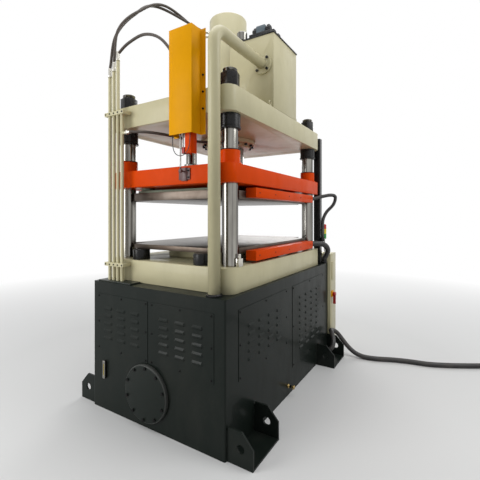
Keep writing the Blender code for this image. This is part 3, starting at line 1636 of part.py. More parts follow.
def floor_cable(finish):
    """The supply cable along the floor and the coil that its spare length is wound into."""
    route = [CABLE_ROUTE[0], *smooth_route(CABLE_ROUTE[1:], 2.4 * CABLE_DIAMETER)]
    cord_object("floor_cable", route, CABLE_DIAMETER, finish)
    end = Vector(CABLE_ROUTE[-1])
    ahead = (end - Vector(CABLE_ROUTE[-2])).normalized()
    aside = Vector((ahead.y, -ahead.x, 0))
    radius = CABLE_DIAMETER / 2
    outer = COIL_TURN + radius
    inner = COIL_TURN - COIL_PITCH * COIL_TURNS - radius
    reach = math.sqrt(outer**2 - (COIL_TURN - radius) ** 2) + GAP - COIL_FACET
    centre = end + aside * COIL_TURN + ahead * reach
    ring = [(inner, 0), (outer, 0), (outer, CABLE_DIAMETER), (inner, CABLE_DIAMETER)]
    place(
        "floor_cable_coil",
        turned(ring, 64),
        finish,
        (centre.x, centre.y, end.z - radius),
    )


def main():
    for old in list(bpy.data.objects):
        bpy.data.objects.remove(old, do_unlink=True)
    green = material("base_green", (0.035, 0.050, 0.050), 0.25)
    cream = material("cream_paint", (0.56, 0.53, 0.38), 0.35)
    orange = material("orange_paint", (0.75, 0.10, 0.01), 0.30)
    yellow = material("yellow_paint", (0.72, 0.36, 0.01), 0.35)
    black = material("black_oxide", (0.012, 0.012, 0.013), 0.40, 0.4)
    chrome = material("chrome", (0.75, 0.75, 0.75), 0.12, 1.0)
    steel = material("machined_steel", (0.45, 0.42, 0.40), 0.35, 1.0)
    brass = material("brass", (0.60, 0.42, 0.16), 0.35, 1.0)
    board = material("insulation_board", (0.24, 0.30, 0.22), 0.80)
    rubber = material("hose_rubber", (0.020, 0.017, 0.016), 0.60)
    aluminium = material("aluminium", (0.62, 0.62, 0.62), 0.40, 1.0)
    red = material("red_plastic", (0.55, 0.01, 0.01), 0.35)

    slide = empty("slide_travel", (0, PLATE_Y, SLIDE_BOTTOM))
    door = empty(
        "door_hinge", (CABINET_LEFT, CABINET_Y + CABINET_DEPTH + DOOR_THICKNESS, 0)
    )
    switch = empty("switch_axis", (CABINET_RIGHT, SWITCH_Y, SWITCH_Z))

    base_cabinet(green)
    front = -BASE_LENGTH / 2 - GAP
    side = BASE_WIDTH / 2 + GAP
    for name, axis, low, high, foot, first_drop in panels():
        size = (high - low, PANEL_TOP - foot)
        middle, z = (low + high) / 2, (foot + PANEL_TOP) / 2
        place_at = (middle, front, z) if axis == 0 else (side, middle, z)
        louvred_panel(name, size, first_drop, place_at, math.radians(90 * axis), green)
    base_fittings(green, chrome, brass)
    pump_motor(black)

    bed = frame_plate("bed", BED_BOTTOM, BED_THICKNESS, 0, cream)
    bore_for_columns(bed, -0.01, BED_THICKNESS + 0.01)
    columns(chrome, black)
    crown(cream)
    main_cylinder(cream)
    lock_unit(black)
    fill_tank(cream, black, steel)
    return_pipe(cream)
    riser_pipes(cream)
    guard_cover(yellow)
    slide_parts(orange, chrome, slide)
    sensor_parts(orange, aluminium, steel, black, slide)
    lower_platen(steel, black, cream, orange)
    upper_platen(steel, board, orange, slide)
    paint = {"cream": cream, "yellow": yellow, "red": red, "steel": steel}
    control_cabinet(paint, door, switch)
    cable_trunk(black)
    hoses(rubber, black, slide)
    floor_cable(rubber)


main()
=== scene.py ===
"""Looks of a column-type hydraulic moulding press: its finishes, hoses, cable and fine pieces."""

import json
import math

import bmesh
import bpy
from mathutils import Matrix, Vector

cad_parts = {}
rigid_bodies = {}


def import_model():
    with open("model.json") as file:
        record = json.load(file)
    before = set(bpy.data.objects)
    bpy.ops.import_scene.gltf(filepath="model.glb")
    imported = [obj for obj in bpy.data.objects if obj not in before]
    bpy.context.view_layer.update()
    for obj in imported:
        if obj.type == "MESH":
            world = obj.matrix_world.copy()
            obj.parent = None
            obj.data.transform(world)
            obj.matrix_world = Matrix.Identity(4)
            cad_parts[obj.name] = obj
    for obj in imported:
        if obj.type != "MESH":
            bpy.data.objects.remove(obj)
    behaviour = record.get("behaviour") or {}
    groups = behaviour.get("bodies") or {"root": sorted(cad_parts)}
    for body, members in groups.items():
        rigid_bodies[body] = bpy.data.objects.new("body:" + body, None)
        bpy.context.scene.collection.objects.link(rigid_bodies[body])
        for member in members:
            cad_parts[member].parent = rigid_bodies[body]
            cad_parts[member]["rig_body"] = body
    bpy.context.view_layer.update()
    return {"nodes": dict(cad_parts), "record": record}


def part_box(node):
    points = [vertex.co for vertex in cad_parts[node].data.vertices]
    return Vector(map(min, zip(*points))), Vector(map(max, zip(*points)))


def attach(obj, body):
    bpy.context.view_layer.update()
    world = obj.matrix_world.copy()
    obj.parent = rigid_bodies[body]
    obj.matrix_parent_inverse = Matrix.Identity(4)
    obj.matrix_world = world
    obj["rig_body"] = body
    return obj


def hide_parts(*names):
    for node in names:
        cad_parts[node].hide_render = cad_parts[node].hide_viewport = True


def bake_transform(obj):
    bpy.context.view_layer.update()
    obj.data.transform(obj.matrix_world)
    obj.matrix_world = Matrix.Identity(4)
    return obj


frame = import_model()


# Camera, floor and light: a view from eye height, in front of the press's right corner. The floor runs up
# into a pale backdrop, and large soft lamps stand on both sides, overhead and behind.
class Field:
    """A shader socket that Python's operators work on; add() brings in any other node."""

    def __init__(self, tree, socket=None):
        self.tree = tree
        self.socket = socket

    def add(self, kind, settings=None, sockets=None, output=0):
        node = self.tree.nodes.new(kind)
        for name, value in (settings or {}).items():
            setattr(node, name, value)
        for name, value in (sockets or {}).items():
            if isinstance(value, Field):
                self.tree.links.new(value.socket, node.inputs[name])
            else:
                node.inputs[name].default_value = value
        return Field(self.tree, node.outputs[output])

    def maths(self, operation, *values):
        return self.add("ShaderNodeMath", {"operation": operation}, dict(enumerate((self, *values))))

    def __add__(self, other):
        return self.maths("ADD", other)

    __radd__ = __add__

    def __sub__(self, other):
        return self.maths("SUBTRACT", other)

    def __rsub__(self, other):
        return (self * -1.0).maths("ADD", other)

    def __mul__(self, other):
        return self.maths("MULTIPLY", other)

    __rmul__ = __mul__

    def __gt__(self, other):
        return self.maths("GREATER_THAN", other)

    def __lt__(self, other):
        return self.maths("LESS_THAN", other)

    def noise(self, scale, detail=3.0, roughness=0.5):
        """Cloudy noise at this place, from 0 to 1; scale is in bumps per metre."""
        sockets = {"Vector": self, "Scale": scale, "Detail": detail, "Roughness": roughness}
        return self.add("ShaderNodeTexNoise", {}, sockets)

    def spread(self, low, high, to_low=0.0, to_high=1.0):
        """Maps the values from low to high onto those from to_low to to_high, and clamps them there."""
        sockets = {0: self, 1: low, 2: high, 3: to_low, 4: to_high}
        return self.add("ShaderNodeMapRange", {"clamp": True}, sockets)

    def tint(self, first, second):
        """The first colour where this mask is 0 and the second where it is 1."""
        pair = {6: first, 7: second}
        for key, value in pair.items():
            if not isinstance(value, Field):
                pair[key] = (*value, 1.0)
        return self.add("ShaderNodeMix", {"data_type": "RGBA"}, {0: self, **pair}, output=2)

    def stretched(self, x, y, z):
        """This place with its axes scaled, for streaks and brushing."""
        return self.add("ShaderNodeMapping", {}, {"Vector": self, "Scale": (x, y, z)})

    def part(self, axis):
        return self.add("ShaderNodeSeparateXYZ", {}, {0: self}, output="XYZ".index(axis))


def feed(socket, field):
    """Links a Field to a socket of the shader."""
    field.tree.links.new(field.socket, socket)


def finish(name, metallic=0.0, roughness=0.5, coat=0.0, source="Object"):
    """A new material: it, its shader's inputs, and a Field of Object coordinates or of the UV map."""
    made = bpy.data.materials.new(name)
    made.use_nodes = True
    inputs = made.node_tree.nodes["Principled BSDF"].inputs
    inputs["Metallic"].default_value = metallic
    inputs["Roughness"].default_value = roughness
    inputs["Coat Weight"].default_value = coat
    inputs["Coat Roughness"].default_value = 0.08
    place = Field(made.node_tree).add("ShaderNodeTexCoord", output=source)
    return made, inputs, place


def shown(tree):
    """1 for what the camera sees, also in metal and through glass, and 0 for the light on the press."""
    kinds = ("Is Camera Ray", "Is Glossy Ray", "Is Transmission Ray")
    rays = [Field(tree).add("ShaderNodeLightPath", output=kind) for kind in kinds]
    return (rays[0] + rays[1] + rays[2]).spread(0.0, 1.0)


def linked(name, data):
    """A new object in the scene with that data."""
    made = bpy.data.objects.new(name, data)
    bpy.context.scene.collection.objects.link(made)
    return made


def primitive(add, **sizes):
    """A primitive added at its size and place, which go into its mesh, with nothing else selected."""
    bpy.ops.object.select_all(action="DESELECT")
    add(**sizes)
    bpy.ops.object.transform_apply()
    return bpy.context.object


SENSOR_WIDTH = 36.0
FOCAL_PIXELS = 345
PICTURE_PIXELS = 480
camera_data = bpy.data.cameras.new("camera")
camera_data.sensor_width = SENSOR_WIDTH
camera_data.lens = SENSOR_WIDTH * FOCAL_PIXELS / PICTURE_PIXELS
camera_data.shift_y = -0.05
camera = linked("camera", camera_data)
camera.location = (1.97, -2.99, 1.635)
camera.rotation_euler = Vector((-0.525, 0.851, 0.0)).to_track_quat("-Z", "Y").to_euler()
bpy.context.scene.camera = camera
bpy.context.scene.view_settings.view_transform = "Standard"

FADE_START = 2.6
FADE_END = 7.5
floor = primitive(bpy.ops.mesh.primitive_plane_add, size=60.0)
floor.name = "floor"
floor_paint, floor_in, floor_place = finish("floor_paint", roughness=0.75)
floor_in["Base Color"].default_value = (0.62, 0.62, 0.61, 1.0)
floor.data.materials.append(floor_paint)
floor_tree = floor_paint.node_tree
painted = Field(floor_tree, floor_tree.nodes["Principled BSDF"].outputs["BSDF"])
glow = floor_place.add("ShaderNodeEmission", {}, {"Strength": 1.0})
away = floor_place.add("ShaderNodeVectorMath", {"operation": "LENGTH"}, {0: floor_place}, output="Value")
faded = shown(floor_tree) * away.spread(FADE_START, FADE_END)
sweep = floor_place.add("ShaderNodeMixShader", {}, {0: faded, 1: painted, 2: glow})
feed(floor_tree.nodes["Material Output"].inputs["Surface"], sweep)

world = bpy.data.worlds.new("studio")
bpy.context.scene.world = world
world.use_nodes = True
background = world.node_tree.nodes["Background"]
backdrop = shown(world.node_tree)
feed(background.inputs["Color"], backdrop.tint((0.80, 0.82, 0.85), (1.0, 1.0, 1.0)))
feed(background.inputs["Strength"], backdrop.spread(0.0, 1.0, 0.55, 1.0))
for name, place, aim, width, height, power in (
    ("lamp_left", (-2.9, -5.6, 2.7), (0, 0, 1.4), 3.0, 4.0, 205),
    ("lamp_right", (4.4, 0.6, 5.0), (0, 0, 2.9), 2.5, 3.5, 110),
    ("lamp_top", (0.5, -1.0, 7.0), (0, 0, 1.0), 5.0, 5.0, 170),
    ("lamp_back", (-2.0, 6.0, 4.5), (0, 0, 1.5), 4.0, 3.0, 160),
):
    lamp_data = bpy.data.lights.new(name, "AREA")
    lamp_data.shape = "RECTANGLE"
    lamp_data.size = width
    lamp_data.size_y = height
    lamp_data.energy = power
    lamp = linked(name, lamp_data)
    lamp.location = place
    lamp.rotation_euler = (Vector(aim) - Vector(place)).to_track_quat("-Z", "Y").to_euler()


# Base cabinet: welded from 10 mm sheet with folded corners, and sprayed in a dark green-grey gloss. The
# cable's gland and the floor brackets are welded to its walls and sprayed with it; the brackets' ears show
# their hand-laid beads.
def bump(height, distance, strength=1.0):
    """A normal from a height Field, with the height of its bumps in metres."""
    sockets = {"Height": height, "Distance": distance, "Strength": strength}
    return height.add("ShaderNodeBump", {}, sockets)


def enamel(name, colour, worn, shine, grime, roughness=0.34, coat=0.0, foot=None):
    """Sprayed enamel: orange peel, a slightly uneven tone, and smudges that dull it. A foot is a height and
    the colour under it."""
    material, inputs, place = finish(name, coat=coat)
    inputs["Specular IOR Level"].default_value = shine
    uneven = place.noise(2.2, 4.0, 0.6)
    smudge = place.stretched(1.0, 1.0, 0.35).noise(5.0, 6.0, 0.65).spread(0.46, 0.78)
    body = uneven.spread(0.3, 0.7).tint(colour, [tone * 0.86 for tone in colour])
    if foot:
        body = (place.part("Z") < foot[0]).tint(body, foot[1])
    feed(inputs["Base Color"], (smudge * grime).tint(body, worn))
    feed(inputs["Roughness"], smudge.spread(0.0, 1.0, roughness, roughness + 0.22))
    feed(inputs["Normal"], bump(place.noise(420.0, 2.0), 0.00035, 0.35))
    return material


def dress(piece, material):
    """Gives a piece one material all over."""
    piece.data.materials.clear()
    piece.data.materials.append(material)


def mounted(piece, material, slot, *nodes, body="frame"):
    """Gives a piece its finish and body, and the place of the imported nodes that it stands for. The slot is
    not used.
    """
    dress(piece, material)
    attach(piece, body)
    if nodes:
        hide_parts(*nodes)
    return piece


def smooth_route(points, spacing):
    """Points at about that spacing on one smooth curve through the given ones."""
    points = [Vector(point) for point in points]
    ends = [2 * points[0] - points[1], *points, 2 * points[-1] - points[-2]]
    fine, steps = [], 24
    for index in range(len(points) - 1):
        p0, p1, p2, p3 = ends[index : index + 4]
        for step in range(steps):
            t = step / steps
            curve = 2 * p1 + (p2 - p0) * t + (2 * p0 - 5 * p1 + 4 * p2 - p3) * t**2
            fine.append(0.5 * (curve + (3 * p1 - p0 - 3 * p2 + p3) * t**3))
    fine.append(points[-1])
    length = sum((b - a).length for a, b in zip(fine, fine[1:]))
    count = max(2, round(length / spacing))
    route, gone = [fine[0]], 0.0
    for first, second in zip(fine, fine[1:]):
        step = (second - first).length
        while len(route) < count and gone + step >= len(route) * length / count:
            route.append(first.lerp(second, (len(route) * length / count - gone) / step))
        gone += step
    route.append(fine[-1])
    return route


def hose(name, route, radius, sides=20, ribs=None):
    """A closed tube along a route, with a UV map in metres along and turns round it; ribs(length) adds to
    its radius at that length."""
    shape = bmesh.new()
    layer = shape.loops.layers.uv.new("UVMap")
    ahead = (route[1] - route[0]).normalized()
    across = ahead.orthogonal().normalized()
    rings, lengths = [], [0.0]
    for index, point in enumerate(route):
        following = route[min(index + 1, len(route) - 1)]
        direction = (following - route[max(index - 1, 0)]).normalized()
        across = (ahead.rotation_difference(direction) @ across).normalized()
        ahead = direction
        other = ahead.cross(across)
        if index:
            lengths.append(lengths[-1] + (point - route[index - 1]).length)
        wide = radius + (ribs(lengths[-1]) if ribs else 0.0)
        angles = [2 * math.pi * side / sides for side in range(sides)]
        rings.append(
            [shape.verts.new(point + wide * (math.cos(a) * across + math.sin(a) * other)) for a in angles]
        )
    for index, (first, second) in enumerate(zip(rings, rings[1:])):
        for side in range(sides):
            after = (side + 1) % sides
            face = shape.faces.new((first[side], first[after], second[after], second[side]))
            face.smooth = True
            turns = (side / sides, (side + 1) / sides, (side + 1) / sides, side / sides)
            for loop, turn, row in zip(face.loops, turns, (index, index, index + 1, index + 1)):
                loop[layer].uv = (lengths[row], turn)
    shape.faces.new(reversed(rings[0]))
    shape.faces.new(rings[-1])
    mesh = bpy.data.meshes.new(name)
    shape.to_mesh(mesh)
    shape.free()
    return linked(name, mesh)


def ripples(depth, pitch):
    """Waves along a tube, for the ripples of a weld or the corrugation of a conduit."""
    return lambda length: depth * math.sin(2 * math.pi * length / pitch)


base_paint = enamel(
    "base_gloss", (0.0085, 0.0120, 0.0098), (0.022, 0.023, 0.019), shine=0.08, grime=0.5, coat=0.10
)
dress(frame["nodes"]["base_cabinet"], base_paint)
base_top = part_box("base_cabinet")[1].z
WALL_X = 0.690
EAR_FACES_Y = (-1.080, -0.696, 0.683, 1.067)
WELD_ENDS_Z = (0.004, 0.204)
WELD_RADIUS = 0.0042
for side in (-1, 1):
    for number, face_y in enumerate(EAR_FACES_Y):
        outward = -1 if number % 2 == 0 else 1
        corner = (side * (WALL_X + 0.0005), face_y + outward * 0.0005)
        run = smooth_route([(*corner, z) for z in WELD_ENDS_Z], 0.0016)
        weld = hose(f"ear_weld_{side}_{number}", run, WELD_RADIUS, 8, ripples(0.0005, 0.006))
        mounted(weld, base_paint, "base_green")


# Louvred panels: 3 mm sheet with pressed hoods, sprayed with the base and held by eight button-head screws
# each, so that the pump, the valves and the tank's pipes can be reached.
def only(piece):
    """Leaves one object selected and active."""
    bpy.ops.object.select_all(action="DESELECT")
    piece.hide_viewport = False
    piece.select_set(True)
    bpy.context.view_layer.objects.active = piece


def rounded(piece, width, segments=2):
    """Rounds the edges of a piece that turn by more than 30 degrees, and shades it smooth between them."""
    only(piece)
    bevel = piece.modifiers.new("edge", "BEVEL")
    bevel.width = width
    bevel.segments = segments
    bevel.limit_method = "ANGLE"
    bevel.angle_limit = math.radians(30)
    bpy.ops.object.modifier_apply(modifier="edge")
    bpy.ops.object.shade_smooth_by_angle(angle=math.radians(40))


def carved(piece, cutter):
    """Cuts the shape of a cutter out of a piece, and removes the cutter."""
    hole = piece.modifiers.new("hole", "BOOLEAN")
    hole.operation = "DIFFERENCE"
    hole.object = cutter
    only(piece)
    bpy.ops.object.modifier_apply(modifier="hole")
    bpy.data.objects.remove(cutter)


SOCKET_SHARE = 0.45


def screw_head(diameter, height, sides, domed, hexagon):
    """A screw's head that stands on the origin towards +Z: a hexagon, or round with a hexagon socket."""
    corners = 6 if hexagon else sides
    middle = (0, 0, height / 2)
    cylinder = bpy.ops.mesh.primitive_cylinder_add
    made = primitive(cylinder, vertices=corners, radius=diameter / 2, depth=height, location=middle)
    if domed:
        rounded(made, height * 0.55, 3)
    else:
        rounded(made, height * 0.12, 1)
    if not hexagon:
        key, top = diameter * SOCKET_SHARE / 2, (0, 0, height * 0.95)
        carved(made, primitive(cylinder, vertices=6, radius=key, depth=height, location=top))
    return made


def screws(
    name, places, facing, diameter, height, material,
    sides=20, domed=False, hexagon=False, turn=0.0, body="frame",
):
    """One piece of equal screw heads, one at each place, all turned to face one way."""
    head = screw_head(diameter, height, sides, domed, hexagon)
    shape = bmesh.new()
    turned = Vector(facing).to_track_quat("Z", "Y").to_matrix().to_4x4()
    turned = turned @ Matrix.Rotation(turn, 4, "Z")
    for place in places:
        before = set(shape.verts)
        shape.from_mesh(head.data)
        fresh = [vert for vert in shape.verts if vert not in before]
        bmesh.ops.transform(shape, matrix=Matrix.Translation(place) @ turned, verts=fresh)
    mesh = bpy.data.meshes.new(name)
    shape.to_mesh(mesh)
    shape.free()
    bpy.data.objects.remove(head)
    made = linked(name, mesh)
    only(made)
    bpy.ops.object.shade_smooth_by_angle(angle=math.radians(40))
    mounted(made, material, "black_oxide", body=body)


screw_black = enamel(
    "screw_black", (0.004, 0.004, 0.004), (0.010, 0.010, 0.010), shine=0.12, grime=0.2, roughness=0.30
)
SCREW_INSET = 0.020
LOUVRE_DEPTH = 0.009
for node, facing in (
    ("panel_front_left", (0, -1, 0)),
    ("panel_front_right", (0, -1, 0)),
    ("panel_side_front", (1, 0, 0)),
    ("panel_side_rear", (1, 0, 0)),
):
    dress(frame["nodes"][node], base_paint)
    low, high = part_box(node)
    along = 0 if facing[0] == 0 else 1
    ends = (low[along] + SCREW_INSET, (low[along] + high[along]) / 2, high[along] - SCREW_INSET)
    heights = (low.z + SCREW_INSET, (low.z + high.z) / 2, high.z - SCREW_INSET)
    face = low.y + LOUVRE_DEPTH if along == 0 else high.x - LOUVRE_DEPTH
    places = []
    for row, z in enumerate(heights):
        for column, reach in enumerate(ends):
            if (row, column) != (1, 1):
                places.append((reach, face, z) if along == 0 else (face, reach, z))
    screws(node + "_screws", places, facing, 0.016, 0.004, screw_black, sides=16, domed=True)


# Manhole cover of the oil tank: a turned steel disc, sprayed with the base and held by ten hexagon bolts in
# a ring. Its rim is painted a lighter grey than its face: partly the grey of the turned rim, partly a
# painted highlight.
SLOTS = {part["node"]: part["material_slot"] for part in frame["record"]["subparts"]}


def eased(node, width, material):
    """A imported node's shape with its flat faces made whole and its edges rounded, in the node's place."""
    source = frame["nodes"][node]
    piece = linked(node + "_skin", source.data.copy())
    only(piece)
    bpy.ops.object.mode_set(mode="EDIT")
    bpy.ops.mesh.select_all(action="SELECT")
    bpy.ops.mesh.remove_doubles(threshold=0.00002)
    bpy.ops.mesh.dissolve_limited(angle_limit=math.radians(1.0))
    bpy.ops.object.mode_set(mode="OBJECT")
    rounded(piece, width)
    return mounted(piece, material, SLOTS[node], node, body=source["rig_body"])


def circle(count, radius, centre, first=0.0, wall=False):
    """Places on a circle, on a level face or on a wall that faces -Y. The first one stands that share of a
    step on."""
    x, y, z = centre
    places = []
    for step in range(count):
        angle = 2 * math.pi * (step + first) / count
        across, other = radius * math.cos(angle), radius * math.sin(angle)
        places.append((x + across, y, z + other) if wall else (x + across, y + other, z))
    return places


RIM_DEPTH = 0.0015
BOLT_INSET = 0.024
low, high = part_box("manhole_cover")
cover_paint, cover_in, cover_place = finish("manhole_gloss", coat=0.10)
cover_in["Specular IOR Level"].default_value = 0.10
# The rim behind the face is painted a lighter grey, part of it a painted highlight of the light that the rim
# catches.
rim = cover_place.part("Y") > low.y + RIM_DEPTH
feed(cover_in["Base Color"], rim.tint((0.0090, 0.0125, 0.0102), (0.050, 0.052, 0.048)))
feed(cover_in["Roughness"], cover_place.noise(30.0, 4.0).spread(0.3, 0.7, 0.34, 0.46))
eased("manhole_cover", 0.003, cover_paint)
middle = ((low.x + high.x) / 2, low.y, (low.z + high.z) / 2)
places = circle(10, (high.x - low.x) / 2 - BOLT_INSET, middle, first=0.4375, wall=True)
screws("manhole_bolts", places, (0, -1, 0), 0.026, 0.0095, screw_black, hexagon=True, turn=0.3)


# Level gauge of the oil tank: a chromed frame, screwed to the base's front wall, with a window on a glass
# tube. The tube shows a yellow scale with dark lines.
def lathe(name, outline, centre, axis="Z", steps=64):
    """Turns an outline of (radius, height) once round an axis; it starts and ends on the axis or closes."""
    mesh = bpy.data.meshes.new(name)
    points = [(radius, 0.0, height) for radius, height in outline]
    edges = [(index, index + 1) for index in range(len(points) - 1)]
    if outline[0][0] > 0:
        edges.append((len(points) - 1, 0))
    mesh.from_pydata(points, edges, [])
    made = linked(name, mesh)
    only(made)
    bpy.ops.object.mode_set(mode="EDIT")
    bpy.ops.mesh.select_all(action="SELECT")
    bpy.ops.mesh.spin(steps=steps, angle=2 * math.pi, center=(0, 0, 0), axis=(0, 0, 1))
    bpy.ops.mesh.select_all(action="SELECT")
    bpy.ops.mesh.remove_doubles(threshold=0.00002)
    bpy.ops.mesh.delete_loose(use_verts=False, use_edges=True, use_faces=False)
    bpy.ops.mesh.select_all(action="SELECT")
    bpy.ops.mesh.normals_make_consistent(inside=False)
    bpy.ops.object.mode_set(mode="OBJECT")
    made.rotation_euler = {"Z": (0, 0, 0), "Y": (math.pi / 2, 0, 0), "X": (0, math.pi / 2, 0)}[axis]
    made.location = centre
    bpy.ops.object.transform_apply()
    bpy.ops.object.shade_smooth_by_angle(angle=math.radians(35))
    return made


chrome, chrome_in, chrome_place = finish("hard_chrome", metallic=1.0)
film = chrome_place.stretched(1.0, 1.0, 0.25).noise(12.0, 4.0, 0.6)
streaks = chrome_place.stretched(26.0, 26.0, 0.35).noise(1.0, 3.0, 0.55).spread(0.42, 0.60)
ground = film.spread(0.35, 0.75).tint((0.34, 0.33, 0.30), (0.22, 0.21, 0.19))
feed(chrome_in["Base Color"], (streaks * 0.75).tint(ground, (0.085, 0.080, 0.075)))
feed(chrome_in["Roughness"], film.spread(0.3, 0.8, 0.10, 0.26))
scratches = chrome_place.stretched(300.0, 300.0, 6.0).noise(1.0, 2.0)
feed(chrome_in["Normal"], bump(scratches, 0.00008, 0.4))
WINDOW_WIDTH = 0.0135
WINDOW_SHARE = 0.64
GLASS_RADIUS = 0.0058
gauge = eased("level_gauge", 0.0015, chrome)
low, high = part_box("level_gauge")
middle = Vector(((low.x + high.x) / 2, low.y, (low.z + high.z) / 2))
window = (high.z - low.z) * WINDOW_SHARE
opening = (WINDOW_WIDTH, 0.022, window)
carved(gauge, primitive(bpy.ops.mesh.primitive_cube_add, size=1.0, location=middle, scale=opening))
outline = [(0.0, -window / 2), (GLASS_RADIUS, -window / 2), (GLASS_RADIUS, window / 2), (0.0, window / 2)]
glass = lathe("gauge_tube", outline, middle + Vector((0.0, 0.0068, 0.0)), steps=24)
lemon, lemon_in, lemon_place = finish("gauge_yellow", roughness=0.2, coat=0.8)
graded = (lemon_place.part("Z") * 90.0).maths("FRACT")
feed(lemon_in["Base Color"], (graded > 0.85).tint((0.42, 0.32, 0.05), (0.10, 0.08, 0.03)))
mounted(glass, lemon, "brass")

# Drain plug of the base's sump: a turned brass cock, screwed into the right wall, with a black body between
# its two collars.
brass, brass_in, brass_place = finish("turned_brass", metallic=1.0)
tarnish = brass_place.noise(70.0, 4.0).spread(0.4, 0.75)
plain_brass = tarnish.tint((0.62, 0.45, 0.18), (0.30, 0.22, 0.10))
low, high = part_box("drain_plug")
reach = (brass_place.part("X") - low.x) * (1.0 / (high.x - low.x))
black_band = (reach > 0.30) * (reach < 0.62)
feed(brass_in["Base Color"], black_band.tint(plain_brass, (0.015, 0.015, 0.016)))
feed(brass_in["Roughness"], tarnish.spread(0.0, 1.0, 0.22, 0.45))
eased("drain_plug", 0.0012, brass)

# Pump and motor: a cast motor with its pump, painted black and bolted down inside the base. They are seen
# only through the louvres.
blackened, blackened_in, blackened_place = finish("black_oxide")
blackened_in["Specular IOR Level"].default_value = 0.25
rubbed = blackened_place.noise(38.0, 4.0).spread(0.52, 0.80)
feed(blackened_in["Base Color"], rubbed.tint((0.005, 0.005, 0.0055), (0.022, 0.021, 0.019)))
feed(blackened_in["Roughness"], blackened_place.noise(60.0, 3.0).spread(0.3, 0.7, 0.22, 0.38))
feed(blackened_in["Normal"], bump(blackened_place.noise(500.0, 2.0), 0.0003, 0.3))
dress(frame["nodes"]["pump_motor"], blackened)

# Bed and crown: thick welded plates with rounded corners, machined, primed and sprayed cream. The bed
# stands on the base, and the crown hangs on the four columns.
cream = enamel(
    "cream_enamel", (0.520, 0.478, 0.298), (0.290, 0.255, 0.160), shine=0.20, grime=0.18, coat=0.12
)
eased("bed", 0.004, cream)
eased("crown", 0.004, cream)
bed_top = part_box("bed")[1].z
crown_low, crown_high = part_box("crown")

# Lifting eyes: two cast eyes on round feet, screwed into the crown's top near its right edge and sprayed
# with it, for the crane's hooks.
EYE_RADIUS = 0.018
EYE_WIRE = 0.006
for number, (inset, y) in enumerate(((0.020, -0.335), (0.045, 0.290))):
    x = crown_high.x - inset
    eye = primitive(
        bpy.ops.mesh.primitive_torus_add,
        major_segments=32, minor_segments=12, major_radius=EYE_RADIUS, minor_radius=EYE_WIRE,
        location=(x, y, crown_high.z + 0.030), rotation=(0, math.pi / 2, 0),
    )
    eye.name = f"lifting_eye_{number}"
    foot_place = (x, y, crown_high.z + 0.0054)
    cylinder = bpy.ops.mesh.primitive_cylinder_add
    foot = primitive(cylinder, vertices=24, radius=0.015, depth=0.010, location=foot_place)
    only(eye)
    foot.select_set(True)
    bpy.ops.object.join()
    bpy.ops.object.shade_smooth_by_angle(angle=math.radians(40))
    mounted(eye, cream, "cream_paint")


# Columns: forged bars, hard-chromed and ground, 125 mm thick. Their shouldered ends pass the crown and
# carry a thread for the top nuts.
def column_axis(corner):
    """Where a column stands, x and y, and its radius."""
    low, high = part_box("column_" + corner)
    return (low.x + high.x) / 2, (low.y + high.y) / 2, (high.x - low.x) / 2


CORNERS = ("front_left", "front_right", "rear_left", "rear_right")
THREAD_RADIUS = 0.055
THREAD_PITCH = 0.004
THREAD_DEPTH = 0.0016
for corner in CORNERS:
    x, y, radius = column_axis(corner)
    low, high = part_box("column_" + corner)
    nut_low, nut_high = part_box("crown_nut_" + corner)
    outline = [(0, low.z), (radius - 0.004, low.z), (radius, low.z + 0.004), (radius, nut_low.z - 0.003)]
    outline += [(radius - 0.002, nut_low.z - 0.0005), (THREAD_RADIUS, nut_low.z)]
    height = nut_high.z - 0.001
    outline.append((THREAD_RADIUS, height))
    while height < high.z - 0.007:
        outline.append((THREAD_RADIUS - THREAD_DEPTH, height + THREAD_PITCH * 0.5))
        height += THREAD_PITCH
        outline.append((THREAD_RADIUS, height))
    outline += [(THREAD_RADIUS - 0.005, high.z), (0, high.z)]
    bar = lathe("column_bar_" + corner, outline, (x, y, 0.0))
    mounted(bar, chrome, "chrome", "column_" + corner)

# Top nuts and clamp nuts: blackened steel. The chamfered hexagons pull the crown down on the columns, and
# the round nuts under it, with a wider lower rim, hold it from below.
for corner in CORNERS:
    eased("crown_nut_" + corner, 0.005, blackened)
    x, y, radius = column_axis(corner)
    low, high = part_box("clamp_nut_" + corner)
    rim = (high.x - low.x) / 2
    half, bore = rim - 0.005, radius + 0.0004
    outline = [(bore, low.z), (rim - 0.003, low.z), (rim, low.z + 0.003), (rim, low.z + 0.015)]
    outline += [(half, low.z + 0.021), (half, high.z - 0.002), (half - 0.002, high.z), (bore, high.z)]
    ring = lathe("clamp_ring_" + corner, outline, (x, y, 0.0))
    mounted(ring, blackened, "black_oxide", "clamp_nut_" + corner)

# Main cylinder: a honed forged tube, sprayed cream, that hangs through the crown on its lower flange,
# held by a ring of blackened socket screws.
TUBE_RADIUS = 0.190
SNOUT_RADIUS = 0.220
BORE_RADIUS = 0.1604
SNOUT_HEIGHT = 0.031
END_WALL = 0.060
low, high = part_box("main_cylinder")
cylinder_y = (low.y + high.y) / 2
flange, snout = (high.x - low.x) / 2, SNOUT_RADIUS
flange_low, flange_high = low.z + SNOUT_HEIGHT, crown_low.z - 0.0003
outline = [(BORE_RADIUS, low.z), (snout - 0.006, low.z), (snout, low.z + 0.006), (snout, flange_low)]
outline += [(flange - 0.003, flange_low), (flange, flange_low + 0.003), (flange, flange_high - 0.003)]
outline += [(flange - 0.003, flange_high), (TUBE_RADIUS, flange_high), (TUBE_RADIUS, high.z - 0.020)]
outline += [(TUBE_RADIUS - 0.008, high.z - 0.008), (TUBE_RADIUS - 0.020, high.z), (0.0, high.z)]
outline += [(0.0, high.z - END_WALL), (BORE_RADIUS, high.z - END_WALL)]
cylinder = lathe("cylinder_tube", outline, (0.0, cylinder_y, 0.0), steps=96)
mounted(cylinder, cream, "cream_paint", "main_cylinder")
places = circle(16, 0.247, (0.0, cylinder_y, flange_low), first=0.5)
